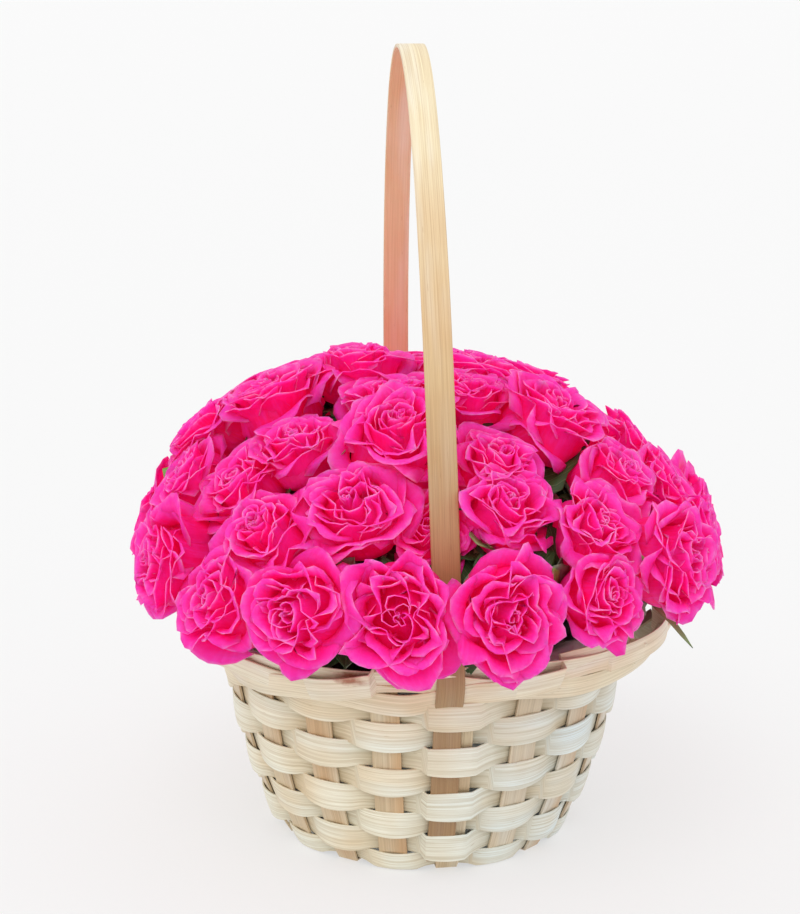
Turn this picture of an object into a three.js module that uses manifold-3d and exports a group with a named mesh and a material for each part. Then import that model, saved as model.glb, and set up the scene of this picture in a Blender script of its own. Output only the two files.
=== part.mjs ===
// A woven chip basket with a bent-wood carrying handle, filled with a dome of pink spray roses.
// Millimetres, +Z up. The origin is the centre of the underside, where the basket stands.
// The handle's plane is YZ, and the front of the basket is at -Y.
import * as THREE from "three";
import { mergeVertices } from "three/addons/utils/BufferGeometryUtils.js";
import Module from "manifold-3d";

const wasm = await Module();
wasm.setup();

// ---- driving dimensions ----

const GAP = 0.3; // running gap left between pieces that touch
const SPLINT = 1.1; // thickness of a stake or weaver

// The wall of the basket, as [radius, height] of the middle of a stake, from the foot to the flared top.
// It bends between rows of weaving, so that every row lies flat against it.
const WALL = [[69.8, 1], [75.9, 11.6], [85.4, 36], [92.3, 60.4], [97.2, 84.8], [100.8, 97], [114, 106.6]];
const TOP_RADIUS_AT_HANDLE = 105.5; // the handle holds the flared top in
const TOP_PULL_POWER = 6; // how closely that keeps to the handle
const BASE_RADIUS = 64;
const BASE_THICK = 2;

const STAKE_WIDTH = 13.5;
const STAKE_WIDTH_BELOW = 10; // a stake narrows where it turns under the base
const STAKE_TURN = 3.3; // the front stake stands this far round from the handle, in degrees
const FRONT_STEP = 20; // degrees between stakes over the front half
const FRONT_STAKES = 5; // stakes on each side of the front one that keep that step
const BACK_GAPS_RIGHT = 4; // gaps from the last of them round to the back, on the right
const BACK_GAPS_LEFT = 5; // and on the left, which makes the count odd

const ROWS = 8; // turns of the one long weaver
const ROW_PITCH = 12.2;
const ROW_START_Z = 5.4; // height of the lowest row's middle, were it full width
const WEAVER_WIDTH = 11.8;
const FIRST_ROW_Z = 6.6;
const FIRST_ROW_WIDTH = 8.6; // the weaver starts trimmed, where it turns under the foot
const WEAVE_SWING = SPLINT + GAP; // how far the weaver's middle stands off the stakes' middle

const RIM_FROM_Z = 102;
const RIM_TO_Z = 106.2;
const RIM_SIDES = 36;
const RIM_OUTER = SPLINT + GAP + 1; // the outer band's middle, clear of the stakes' corners
const RIM_INNER = -SPLINT - GAP - 0.3;

const HANDLE_WIDTH = 13;
const HANDLE_THICK = 1.8;
const HANDLE_FOOT_Z = 8;
const HANDLE_LEAVES_WALL_Z = 96.4; // where it turns out from under the top row to pass the rim
const HANDLE_TOP_Z = 385;
const HANDLE_ARCH_FROM_Z = 110;
const HANDLE_ARCH_RADIUS = 106.5;
const HANDLE_BOW = 3.5; // how far the hoop bows out to pass outside the rim
const HANDLE_BOW_HEIGHT = 30; // height over which it comes back in
const HANDLE_LEAN = 5.7; // how far the hand-bent hoop leans towards -X at the top
const HANDLE_STEPS = 28;

const LINER_THICK = 0.8;
const LINER_INSET = 3.1;
const LINER_SIDES = 18;

const FOAM_RADIUS = 64;
const FOAM_TOP_Z = 136;
const FOAM_CHAMFER = 26;
const FOAM_SIDES = 16;

// Rings of blooms over the dome. radius and height place the middle of a bloom's widest petals, lean is the
// angle above the horizon that it faces, and size its radius when fully open. Blooms take turns to sit that
// much further out or in (stagger). count blooms stand evenly round, from the bearing of the first.
const RING_LOW = { name: "low", radius: 132, height: 145, lean: 14, size: 26, stagger: 2 };
const RING_MIDDLE = { name: "middle", radius: 108, height: 180, lean: 42, size: 25, stagger: 7, count: 18,
  first: -4.4 };
const RING_HIGH = { name: "high", radius: 74, height: 208, lean: 63, size: 26, stagger: 5, count: 10,
  first: 18 };
const RING_TOP = { name: "top", radius: 31, height: 224, lean: 79, size: 25, stagger: 2, count: 5,
  first: 32 };
const LOW_EACH_SIDE = 9; // the low ring's blooms on each side of the handle
const LOW_RIGHT = { first: 9.5, last: 169 };
const LOW_LEFT = { first: -11.5, last: -167 };
const HANDLE_SETBACK = 24; // how much further in a middle bloom sits when it is behind the handle
const NUDGE_DEG = 0.5; // step by which a low bloom moves aside for the handle
const BLOOM_JITTER_DEG = 6; // how far a bloom's facing wanders
const BLOOM_JITTER_MM = 1.6; // and its place
const BLOOM_SHRINK = 0.975; // step by which a bloom closes until its neighbours let it be
const PETALS = 5; // petals in each whorl
const PETAL_POINTS = 3; // points of the outline for each petal: one notch and two shoulders

// Half section of an open bloom, in parts of its radius: the flower's foot, then each ring of the surface.
// notch is how much a ring draws in between petals, dip how far it drops there, turn the whorl's offset.
const BLOOM_FOOT = -0.85;
const BLOOM_RINGS = [
  { r: 0.66, z: -0.52, notch: 0.05, dip: 0, turn: 0 },
  { r: 1.0, z: -0.02, notch: 0.2, dip: 0.1, turn: 0 },
  { r: 0.62, z: -0.12, notch: 0.02, dip: 0, turn: 1 },
  { r: 0.7, z: 0.3, notch: 0.18, dip: 0.08, turn: 1 },
  { r: 0.33, z: 0.1, notch: 0.02, dip: 0, turn: 2 },
  { r: 0.38, z: 0.42, notch: 0.2, dip: 0.06, turn: 2 },
];
const BLOOM_HEART = 0.2;

const HUB = { radius: 7, low: 30, high: 60, sides: 8 }; // where the stems' cut ends meet inside the foam
const STEM_RADIUS = 2.3;
const STEM_SIDES = 5;
const PEDICEL_SIDES = 3;
const BRANCH_STEP = 4; // distance between branches down a main stem
const PEDICEL_RADIUS = 1.4;
const HIP_RADIUS = 4.2; // the green hip and calyx under a bloom
const HIP_LENGTH = 6;
const FORK_LOW = { radius: 74, height: 141 }; // where a low spray forks into its pedicels
const FORK_HIGH = { radius: 33, height: 165 };
const LOW_SPRAY_FIRST = 7; // bearing of the first low spray
const LEAF = { length: 46, width: 17, thick: 0.8, root: 4, arch: 4 };
const LEAF_TURN = 28; // a leaf of a low spray points this far round from its stem, in degrees
const LEAF_DROOP = 14; // and this far below the level
const FINE = 0.35; // detail smaller than this is smoothed out of the joined stems
const SEED = 51;

// ---- colours ----

const finish = (color, roughness) => new THREE.MeshStandardMaterial({ color, roughness, metalness: 0 });
const PALE_CHIP = finish(0xe3d4b4, 0.65);
const STAKE_CHIP = finish(0xcdb48a, 0.7);
const HANDLE_WOOD = finish(0xd9b67c, 0.55);
const PETAL_PINK = finish(0xf0148a, 0.6);
const STEM_GREEN = finish(0x6f8f3f, 0.7);
const FOAM_GREEN = finish(0x2e4a2c, 0.95);
const LINER_FILM = finish(0xb9c4c9, 0.3);

// ---- helpers ----

const radians = THREE.MathUtils.degToRad;
const part = new THREE.Group();

function addMesh(name, geometry, material) {
  const mesh = new THREE.Mesh(geometry, material);
  mesh.name = name;
  part.add(mesh);
  return mesh;
}

// A repeatable draw between -1 and 1.
let drawState = SEED;
function draw() {
  drawState = (drawState * 1664525 + 1013904223) % 4294967296;
  return (drawState / 4294967296) * 2 - 1;
}

// The direction of a bearing in degrees: 0 is the front, -Y, and 90 is +X.
function outward(bearing) {
  const angle = radians(bearing);
  return new THREE.Vector3(Math.sin(angle), -Math.cos(angle), 0);
}

function polar(bearing, radius, height) {
  return outward(bearing).multiplyScalar(radius).setZ(height);
}

// Closed geometry from points and the faces between them.
function solidGeometry(points, faces) {
  const geometry = new THREE.BufferGeometry();
  const numbers = points.flatMap((point) => [point.x, point.y, point.z]);
  geometry.setAttribute("position", new THREE.Float32BufferAttribute(numbers, 3));
  geometry.setIndex(faces.flat());
  return geometry;
}

function toSolid(geometry) {
  const bare = geometry.clone();
  bare.deleteAttribute("normal");
  bare.deleteAttribute("uv");
  const merged = mergeVertices(bare, 1e-4);
  return new wasm.Manifold(
    new wasm.Mesh({
      numProp: 3,
      vertProperties: merged.attributes.position.array,
      triVerts: new Uint32Array(merged.index.array),
    }),
  );
}

function toGeometry(solid) {
  const mesh = solid.getMesh();
  const geometry = new THREE.BufferGeometry();
  geometry.setAttribute("position", new THREE.BufferAttribute(new Float32Array(mesh.vertProperties), 3));
  geometry.setIndex(new THREE.BufferAttribute(new Uint32Array(mesh.triVerts), 1));
  return geometry;
}

// A flat splint swept through stations of { centre, across, normal, width }: a strip with square edges.
function splintGeometry(stations, thick, closed = false) {
  const points = stations.flatMap(({ centre, across, normal, width }) => {
    const side = across.clone().multiplyScalar(width / 2);
    const lift = normal.clone().multiplyScalar(thick / 2);
    return [
      centre.clone().sub(side).sub(lift),
      centre.clone().sub(side).add(lift),
      centre.clone().add(side).add(lift),
      centre.clone().add(side).sub(lift),
    ];
  });
  const faces = [];
  const count = stations.length;
  const spans = closed ? count : count - 1;
  for (let i = 0; i < spans; i += 1) {
    const here = 4 * i;
    const next = 4 * ((i + 1) % count);
    for (let k = 0; k < 4; k += 1) {
      const turn = (k + 1) % 4;
      faces.push([here + k, next + k, next + turn], [here + k, next + turn, here + turn]);
    }
  }
  if (!closed) {
    const last = 4 * (count - 1);
    faces.push([0, 1, 2], [0, 2, 3], [last, last + 2, last + 1], [last, last + 3, last + 2]);
  }
  const geometry = solidGeometry(points, faces);
  const solid = toSolid(geometry);
  return solid.volume() < 0 ? solidGeometry(points, faces.map(([a, b, c]) => [a, c, b])) : geometry;
}

// A round tube through points, with a radius for each.
function tubeSolid(points, radii, sides) {
  const ring = [];
  points.forEach((point, i) => {
    const before = points[Math.max(i - 1, 0)];
    const after = points[Math.min(i + 1, points.length - 1)];
    const frame = new THREE.Quaternion().setFromUnitVectors(
      new THREE.Vector3(0, 0, 1),
      after.clone().sub(before).normalize(),
    );
    for (let k = 0; k < sides; k += 1) {
      const angle = (2 * Math.PI * k) / sides;
      const corner = new THREE.Vector3(Math.cos(angle), Math.sin(angle), 0);
      ring.push(corner.multiplyScalar(radii[i]).applyQuaternion(frame).add(point));
    }
  });
  const first = ring.length;
  ring.push(points[0].clone(), points[points.length - 1].clone());
  const faces = [];
  for (let k = 0; k < sides; k += 1) {
    const turn = (k + 1) % sides;
    const end = sides * (points.length - 1);
    faces.push([first, turn, k], [first + 1, end + k, end + turn]);
    for (let i = 0; i < points.length - 1; i += 1) {
      const low = sides * i;
      const high = low + sides;
      faces.push([low + k, low + turn, high + turn], [low + k, high + turn, high + k]);
    }
  }
  return toSolid(solidGeometry(ring, faces));
}

// A turned piece about +Z from a [radius, height] profile.
function turnedGeometry(profile, sides) {
  const outline = profile.map(([radius, height]) => new THREE.Vector2(radius, height));
  return new THREE.LatheGeometry(outline, sides).rotateX(Math.PI / 2);
}

// ---- the wall's shape ----

// The wall's outline at a bearing: the flared top is held in towards the handle.
function wallOutline(bearing) {
  const [side, height] = WALL.at(-1);
  const pull = Math.cos(radians(bearing)) ** TOP_PULL_POWER;
  return [...WALL.slice(0, -1), [side + (TOP_RADIUS_AT_HANDLE - side) * pull, height]];
}

// The stake's middle line at a height, moved off it outwards, with the wall's normal there.
function wallAt(bearing, height, off = 0) {
  const outline = wallOutline(bearing);
  const normalAbove = (i) => {
    const [low, high] = [outline[i], outline[i + 1]];
    return new THREE.Vector2(high[1] - low[1], low[0] - high[0]).normalize();
  };
  const above = outline.findIndex((point) => point[1] >= height);
  const i = THREE.MathUtils.clamp(above - 1, 0, outline.length - 2);
  const [low, high] = [outline[i], outline[i + 1]];
  const normal = normalAbove(i);
  if (above > 0 && above < outline.length - 1 && height === high[1]) {
    const next = normalAbove(above);
    normal.add(next).divideScalar(1 + normalAbove(i).dot(next)); // a mitre
  }
  const radius = low[0] + ((high[0] - low[0]) * (height - low[1])) / (high[1] - low[1]);
  return { radius: radius + off * normal.x, height: height + off * normal.y, normal };
}

// The bearing of stake i: 0 at the front, rising towards +X; even steps in front, even shares behind.
function stakeBearing(i) {
  const frontEnd = FRONT_STEP * FRONT_STAKES;
  const past = Math.abs(i) - FRONT_STAKES;
  if (past <= 0) return STAKE_TURN + FRONT_STEP * i;
  const gaps = i > 0 ? BACK_GAPS_RIGHT : BACK_GAPS_LEFT;
  return STAKE_TURN + Math.sign(i) * (frontEnd + ((180 - frontEnd) * past) / gaps);
}
const LAST_STAKE = FRONT_STAKES + BACK_GAPS_RIGHT; // the stake at the back, which the handle's far leg joins
const FIRST_STAKE = 1 - FRONT_STAKES - BACK_GAPS_LEFT;

// ---- basket ----

// The stakes are splints that run in over the base, where they are bound together, and turn up the wall.
function makeStakes() {
  let body = toSolid(new THREE.CylinderGeometry(BASE_RADIUS, BASE_RADIUS, BASE_THICK, RIM_SIDES)
    .rotateX(Math.PI / 2).translate(0, 0, BASE_THICK / 2));
  for (let i = FIRST_STAKE; i <= LAST_STAKE; i += 1) {
    const bearing = stakeBearing(i);
    const across = outward(bearing + 90);
    const under = polar(bearing, BASE_RADIUS - 8, BASE_THICK / 2);
    const down = new THREE.Vector3(0, 0, -1);
    const stations = [{ centre: under, across, normal: down, width: STAKE_WIDTH_BELOW }];
    wallOutline(bearing).forEach(([radius, height], level) => {
      const { normal } = wallAt(bearing, height);
      stations.push({
        centre: polar(bearing, radius, height),
        across,
        normal: polar(bearing, normal.x, normal.y),
        width: level === 0 ? STAKE_WIDTH_BELOW : STAKE_WIDTH,
      });
    });
    body = body.add(toSolid(splintGeometry(stations, SPLINT)));
  }
  return toGeometry(body);
}

// One long weaver goes round and round, over one stake and behind the next. The stakes are odd in number,
// so each turn crosses them the other way. It climbs to the next row in the gap before its first stake.
function makeWeaver() {
  const stations = [];
  const stakes = LAST_STAKE - FIRST_STAKE + 1;
  const order = Array.from({ length: stakes }, (_, i) => ((i + 2) % stakes) + FIRST_STAKE);
  for (let row = 0; row < ROWS; row += 1) {
    const height = row === 0 ? FIRST_ROW_Z : ROW_START_Z + ROW_PITCH * row;
    const width = row === 0 ? FIRST_ROW_WIDTH : WEAVER_WIDTH;
    order.forEach((stake, crossing) => {
      const over = (row * stakes + crossing) % 2 === 0;
      const holdsHandle = over && (stake === 0 || stake === LAST_STAKE);
      const off = (over ? WEAVE_SWING : -WEAVE_SWING) + (holdsHandle ? HANDLE_THICK + GAP : 0);
      const bearing = stakeBearing(stake);
      const wall = wallAt(bearing, height, off);
      const handleSide = wall.radius * Math.sin(radians(STAKE_TURN)) + HANDLE_WIDTH / 2 + GAP;
      for (const end of [holdsHandle ? -handleSide : -STAKE_WIDTH / 2, STAKE_WIDTH / 2]) {
        stations.push({
          centre: polar(bearing, wall.radius, wall.height).addScaledVector(outward(bearing + 90), end),
          across: polar(bearing, -wall.normal.y, wall.normal.x),
          normal: polar(bearing, wall.normal.x, wall.normal.y),
          width,
        });
      }
    });
  }
  return splintGeometry(stations, SPLINT);
}

// Two bands clamp the stakes' tops, one outside and one inside.
function makeRim(off) {
  const stations = Array.from({ length: RIM_SIDES }, (_, i) => {
    const bearing = (360 / RIM_SIDES) * i;
    const wall = wallAt(bearing, (RIM_FROM_Z + RIM_TO_Z) / 2, off);
    return {
      centre: polar(bearing, wall.radius, wall.height),
      across: polar(bearing, -wall.normal.y, wall.normal.x),
      normal: polar(bearing, wall.normal.x, wall.normal.y),
      width: (RIM_TO_Z - RIM_FROM_Z) / wall.normal.x,
    };
  });
  return splintGeometry(stations, SPLINT, true);
}

// ---- handle ----

// The hoop's middle line: half an ellipse that bows out at each end to pass the rim.
function handlePoint(share) {
  const side = share < 0.5 ? -1 : 1;
  const angle = Math.PI * Math.min(share, 1 - share);
  const top = HANDLE_TOP_Z - HANDLE_THICK / 2;
  const height = HANDLE_ARCH_FROM_Z + (top - HANDLE_ARCH_FROM_Z) * Math.sin(angle);
  const bow = HANDLE_BOW * Math.max(0, 1 - (height - HANDLE_ARCH_FROM_Z) / HANDLE_BOW_HEIGHT) ** 1.6;
  const lean = HANDLE_LEAN * ((height - HANDLE_ARCH_FROM_Z) / (top - HANDLE_ARCH_FROM_Z)) ** 0.66;
  return new THREE.Vector3(-lean, side * (HANDLE_ARCH_RADIUS * Math.cos(angle) + bow), height);
}

// The leg below the arch, from its foot to the rim, as [radius, height].
function handleLeg() {
  const clear = (SPLINT + HANDLE_THICK) / 2 + GAP;
  const beside = (height, off) => {
    const wall = wallAt(0, height, off);
    return [wall.radius, wall.height];
  };
  const bends = WALL.map(([, height]) => height);
  const woven = bends.filter((height) => height > HANDLE_FOOT_Z && height < HANDLE_LEAVES_WALL_Z);
  return [
    ...[HANDLE_FOOT_Z, ...woven, HANDLE_LEAVES_WALL_Z].map((height) => beside(height, clear)),
    beside(RIM_FROM_Z - 1, RIM_OUTER + clear),
    beside(RIM_TO_Z, RIM_OUTER + clear),
  ];
}

function makeHandle() {
  const leg = handleLeg();
  const line = [
    ...leg.map(([radius, height]) => new THREE.Vector3(0, -radius, height)),
    ...Array.from({ length: HANDLE_STEPS + 1 }, (_, i) => handlePoint(i / HANDLE_STEPS)),
    ...leg.toReversed().map(([radius, height]) => new THREE.Vector3(0, radius, height)),
  ];
  const across = new THREE.Vector3(1, 0, 0);
  const stations = line.map((centre, i) => {
    const before = line[Math.max(i - 1, 0)];
    const after = line[Math.min(i + 1, line.length - 1)];
    const along = after.clone().sub(before).setX(0).normalize();
    const normal = new THREE.Vector3().crossVectors(across, along);
    return { centre, across, normal, width: HANDLE_WIDTH };
  });
  return splintGeometry(stations, HANDLE_THICK);
}

// ---- liner and foam ----

const LINER_FLOOR_Z = BASE_THICK + 2 * GAP;

function makeLiner() {
  const bends = [WALL[1], WALL[3], WALL[5]];
  const foot = [WALL[0][0] - LINER_INSET - 3, LINER_FLOOR_Z];
  const outer = bends.map(([radius, height]) => [radius - LINER_INSET, height]);
  const inner = bends.toReversed().map(([radius, height]) => [radius - LINER_INSET - LINER_THICK, height]);
  const floor = LINER_FLOOR_Z + LINER_THICK;
  const floorInside = [[foot[0] - LINER_THICK, floor], [0, floor]];
  return turnedGeometry([[0, LINER_FLOOR_Z], foot, ...outer, ...inner, ...floorInside], LINER_SIDES);
}

function makeFoam(stemRoom) {
  const floor = LINER_FLOOR_Z + LINER_THICK + GAP;
  const outline = [
    [0, floor],
    [FOAM_RADIUS - 4, floor],
    [FOAM_RADIUS, FOAM_TOP_Z - FOAM_CHAMFER],
    [FOAM_RADIUS - FOAM_CHAMFER, FOAM_TOP_Z],
    [0, FOAM_TOP_Z],
  ];
  return toGeometry(toSolid(turnedGeometry(outline, FOAM_SIDES)).subtract(stemRoom));
}

// ---- roses ----

// Where each bloom sits and faces, ring by ring, with a small seeded wander.
function placeBlooms() {
  const lowBearings = [LOW_RIGHT, LOW_LEFT].flatMap(({ first, last }) =>
    Array.from({ length: LOW_EACH_SIDE }, (_, i) => first + ((last - first) * i) / (LOW_EACH_SIDE - 1)));
  const even = (ring) => Array.from({ length: ring.count }, (_, i) => ring.first + (360 / ring.count) * i);
  const rings = [
    [RING_LOW, lowBearings],
    [RING_MIDDLE, even(RING_MIDDLE)],
    [RING_HIGH, even(RING_HIGH)],
    [RING_TOP, even(RING_TOP)],
  ];
  return rings.flatMap(([ring, bearings]) => bearings.map((bearing, i) => {
    const lean = radians(ring.lean + BLOOM_JITTER_DEG * draw());
    const facing = outward(bearing + BLOOM_JITTER_DEG * draw());
    facing.multiplyScalar(Math.cos(lean)).setZ(Math.sin(lean));
    const behindHandle = ring === RING_MIDDLE && Math.abs(Math.sin(radians(bearing))) < 0.2;
    const setback = behindHandle ? HANDLE_SETBACK : 0;
    const stagger = ring.stagger * (i % 2 === 0 ? 1 : -1);
    const height = ring.height - stagger + BLOOM_JITTER_MM * draw();
    const centre = polar(bearing, ring.radius + stagger - setback, height);
    const spin = 180 * draw();
    return { ring, bearing, centre, facing, spin, open: 1 };
  }));
}

// A bloom is one surface that rises and falls from whorl to whorl: each outer ring of petals, the groove
// inside it, the next ring, and the furled heart. Each ring is drawn in at the notches between its petals.
function bloomGeometry({ ring, centre, facing, spin, open }) {
  const size = ring.size * open;
  const count = PETALS * PETAL_POINTS;
  const frame = new THREE.Quaternion().setFromUnitVectors(new THREE.Vector3(0, 0, 1), facing);
  const place = (radius, angle, height) => {
    const point = new THREE.Vector3(radius * Math.cos(angle), radius * Math.sin(angle), height);
    return point.multiplyScalar(size).applyQuaternion(frame).add(centre);
  };
  const points = [place(0, 0, BLOOM_FOOT / open)];
  for (const { r, z, notch, dip, turn } of BLOOM_RINGS) {
    for (let k = 0; k < count; k += 1) {
      const angle = radians(spin) + (2 * Math.PI * k) / count;
      const at = (k + turn) % PETAL_POINTS;
      const isNotch = at === 0;
      const curl = at === 1 ? dip / 2 : 0;
      points.push(place(r * (isNotch ? 1 - notch : 1), angle, z - (isNotch ? dip : curl)));
    }
  }
  points.push(place(0, 0, BLOOM_HEART));
  const faces = [];
  const top = points.length - 1;
  for (let k = 0; k < count; k += 1) {
    const next = (k + 1) % count;
    const lastRing = 1 + count * (BLOOM_RINGS.length - 1);
    faces.push([0, 1 + next, 1 + k], [top, lastRing + k, lastRing + next]);
    for (let j = 0; j < BLOOM_RINGS.length - 1; j += 1) {
      const low = 1 + count * j;
      const high = low + count;
      faces.push([low + k, low + next, high + next], [low + k, high + next, high + k]);
    }
  }
  return solidGeometry(points, faces);
}

// Low blooms move aside for the handle, and then each bloom opens only as far as its neighbours allow.
function settleBlooms(blooms, handle) {
  const solids = blooms.map((bloom) => toSolid(bloomGeometry(bloom)));
  blooms.forEach((bloom, i) => {
    const aside = new THREE.Vector3(0, 0, 1);
    while (bloom.ring === RING_LOW && solids[i].minGap(handle, 1) < GAP) {
      const away = Math.sign(bloom.centre.x * -bloom.centre.y) * radians(NUDGE_DEG);
      bloom.centre.applyAxisAngle(aside, away);
      bloom.facing.applyAxisAngle(aside, away);
      solids[i] = toSolid(bloomGeometry(bloom));
    }
  });
  const pairs = [];
  blooms.forEach((a, i) => blooms.slice(i + 1).forEach((b, k) => {
    if (a.centre.distanceTo(b.centre) < a.ring.size + b.ring.size) pairs.push([i, i + 1 + k]);
  }));
  let crowded = true;
  while (crowded) {
    const tight = pairs.filter(([i, j]) => solids[i].minGap(solids[j], 1) < GAP);
    const closing = new Set(tight.map(([i, j]) => (blooms[i].open > blooms[j].open ? i : j)));
    blooms.forEach((_, i) => {
      if (solids[i].minGap(handle, 1) < GAP) closing.add(i);
    });
    closing.forEach((i) => {
      blooms[i].open *= BLOOM_SHRINK;
      solids[i] = toSolid(bloomGeometry(blooms[i]));
    });
    crowded = closing.size > 0;
  }
}

// The sprays: each stem carries neighbouring blooms. Low ones hold blooms of the two lower rings, high ones
// of the two upper rings. A bloom joins the spray whose bearing is nearest.
function makeSprays(blooms) {
  const around = (fork, count, first) => Array.from({ length: count }, (_, i) => {
    return { fork, bearing: first + (360 / count) * i, blooms: [] };
  });
  const low = around(FORK_LOW, LOW_EACH_SIDE, LOW_SPRAY_FIRST);
  const high = around(FORK_HIGH, RING_TOP.count, RING_TOP.first);
  const apart = (a, b) => Math.abs(((a - b + 540) % 360) - 180);
  for (const bloom of blooms) {
    const choices = bloom.ring === RING_LOW || bloom.ring === RING_MIDDLE ? low : high;
    const nearest = choices.reduce((best, one) =>
      (apart(one.bearing, bloom.bearing) < apart(best.bearing, bloom.bearing) ? one : best));
    nearest.blooms.push(bloom);
  }
  return [...low, ...high];
}

const hubPoint = ({ fork }) => new THREE.Vector3(0, 0, fork === FORK_LOW ? HUB.low + 10 : HUB.high - 8);

// A point on a spray's main stem, so many branches down from its tip.
function branchPoint(spray, steps) {
  const tip = polar(spray.bearing, spray.fork.radius, spray.fork.height);
  const down = hubPoint(spray).sub(tip).normalize();
  return tip.addScaledVector(down, BRANCH_STEP * steps);
}

// A leaf's blade: a pointed outline, hollowed across its rib and arched along it.
function leafSolid(root, bearing) {
  const widest = [0.3 * LEAF.length, LEAF.width / 2];
  const half = [[-LEAF.root, 1.2], [0, 1.4], widest, [0.7 * LEAF.length, LEAF.width / 3]];
  const otherHalf = half.toReversed().map(([along, wide]) => [along, -wide]);
  const outline = [...half, [LEAF.length, 0], ...otherHalf];
  const shape = new THREE.Shape(outline.map(([along, wide]) => new THREE.Vector2(along, -wide)));
  const blade = new THREE.ExtrudeGeometry(shape, { depth: LEAF.thick, bevelEnabled: false, steps: 1 });
  const position = blade.attributes.position;
  for (let i = 0; i < position.count; i += 1) {
    const along = position.getX(i) / LEAF.length;
    const across = position.getY(i) / LEAF.width;
    position.setZ(i, position.getZ(i) - LEAF.arch * along * along + 8 * across * across);
  }
  blade.rotateY(radians(LEAF_DROOP)).rotateZ(radians(bearing - 90)).translate(root.x, root.y, root.z);
  return toSolid(blade);
}

// All the green wood: main stems that meet in the foam, their branches with a hip under each bloom, and
// the leaves of the low sprays. The lowest bloom takes the lowest branch. Also the room that the foam gives
// the stems.
function makeStems(sprays) {
  const hub = (extra) => {
    const radius = HUB.radius + extra;
    const knot = new THREE.CylinderGeometry(radius, radius, HUB.high - HUB.low + 2 * extra, HUB.sides);
    return toSolid(knot.rotateX(Math.PI / 2).translate(0, 0, (HUB.low + HUB.high) / 2));
  };
  const main = (spray, radius) =>
    tubeSolid([hubPoint(spray), branchPoint(spray, 0)], [radius, radius], STEM_SIDES);
  const branch = (from, { centre, facing, ring }) => {
    const foot = centre.clone().addScaledVector(facing, BLOOM_FOOT * ring.size - GAP);
    const hipFoot = foot.clone().addScaledVector(facing, -HIP_LENGTH);
    return tubeSolid([from, hipFoot, foot], [PEDICEL_RADIUS, PEDICEL_RADIUS, HIP_RADIUS], PEDICEL_SIDES);
  };
  const wood = [hub(0)];
  const room = [hub(GAP)];
  for (const spray of sprays) {
    const highestFirst = spray.blooms.toSorted((a, b) => b.centre.z - a.centre.z);
    wood.push(main(spray, STEM_RADIUS));
    wood.push(...highestFirst.map((bloom, i) => branch(branchPoint(spray, i), bloom)));
    room.push(main(spray, STEM_RADIUS + 2 * GAP));
    if (spray.fork === FORK_LOW) {
      const root = branchPoint(spray, highestFirst.length);
      wood.push(leafSolid(root, spray.bearing + LEAF_TURN));
    }
  }
  return { stems: wasm.Manifold.union(wood).simplify(FINE), stemRoom: wasm.Manifold.union(room) };
}

// ---- the whole arrangement ----

addMesh("basket_stakes", makeStakes(), STAKE_CHIP);
addMesh("basket_weaver", makeWeaver(), PALE_CHIP);
addMesh("rim_band_outer", makeRim(RIM_OUTER), PALE_CHIP);
addMesh("rim_band_inner", makeRim(RIM_INNER), PALE_CHIP);
const handle = addMesh("handle", makeHandle(), HANDLE_WOOD);
addMesh("liner", makeLiner(), LINER_FILM);

const blooms = placeBlooms();
settleBlooms(blooms, toSolid(handle.geometry));
const sprays = makeSprays(blooms);
const { stems, stemRoom } = makeStems(sprays);
addMesh("foam", makeFoam(stemRoom), FOAM_GREEN);
addMesh("stems_and_leaves", toGeometry(stems), STEM_GREEN);
blooms.forEach((bloom, i) => {
  addMesh(`rose_${bloom.ring.name}_${String(i + 1).padStart(2, "0")}`, bloomGeometry(bloom), PETAL_PINK);
});

export default part;
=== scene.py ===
# %% [markdown]
# # A basket of pink spray roses
# The real thing is a round basket woven from flat wood splints, with one bent splint as its handle. Inside is
# a film liner with a block of wet foam, and cut rose stems stand in the foam. The CAD model gives every size
# and place. This lesson dresses it: each piece is made again, or given its finish, in the same frame and in
# metres.

# %% load the frame
import itertools
import math

import bmesh
import bpy
import numpy as np
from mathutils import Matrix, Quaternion, Vector


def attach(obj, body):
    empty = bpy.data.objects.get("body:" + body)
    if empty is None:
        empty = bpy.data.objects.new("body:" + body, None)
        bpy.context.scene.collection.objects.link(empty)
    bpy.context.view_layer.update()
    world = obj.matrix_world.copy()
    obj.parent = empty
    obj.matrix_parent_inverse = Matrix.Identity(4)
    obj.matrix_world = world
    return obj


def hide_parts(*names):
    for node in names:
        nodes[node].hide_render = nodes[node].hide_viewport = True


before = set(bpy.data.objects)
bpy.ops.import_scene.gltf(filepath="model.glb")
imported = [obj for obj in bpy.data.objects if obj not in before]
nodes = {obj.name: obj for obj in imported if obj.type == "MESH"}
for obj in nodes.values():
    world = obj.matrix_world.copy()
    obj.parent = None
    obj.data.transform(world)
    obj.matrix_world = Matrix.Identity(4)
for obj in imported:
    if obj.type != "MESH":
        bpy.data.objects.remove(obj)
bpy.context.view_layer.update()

MM = 0.001

# %% [markdown]
# ## The camera
# The photograph was taken from about a metre away, a little above the blooms and looking down. The camera's
# place, tilt and lens were fitted to the stakes, the weaving rows and the handle, so the same things fall on
# the same spots of the picture.

# %% camera
CAMERA_BEARING = 6.8  # degrees that the camera stands round from the front, towards -X
CAMERA_AWAY = 1.050
CAMERA_HEIGHT = 0.4539
CAMERA_PITCH = 14.33
CAMERA_YAW = -0.658
CAMERA_ROLL = 0.42
LENS = 87.35

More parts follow.
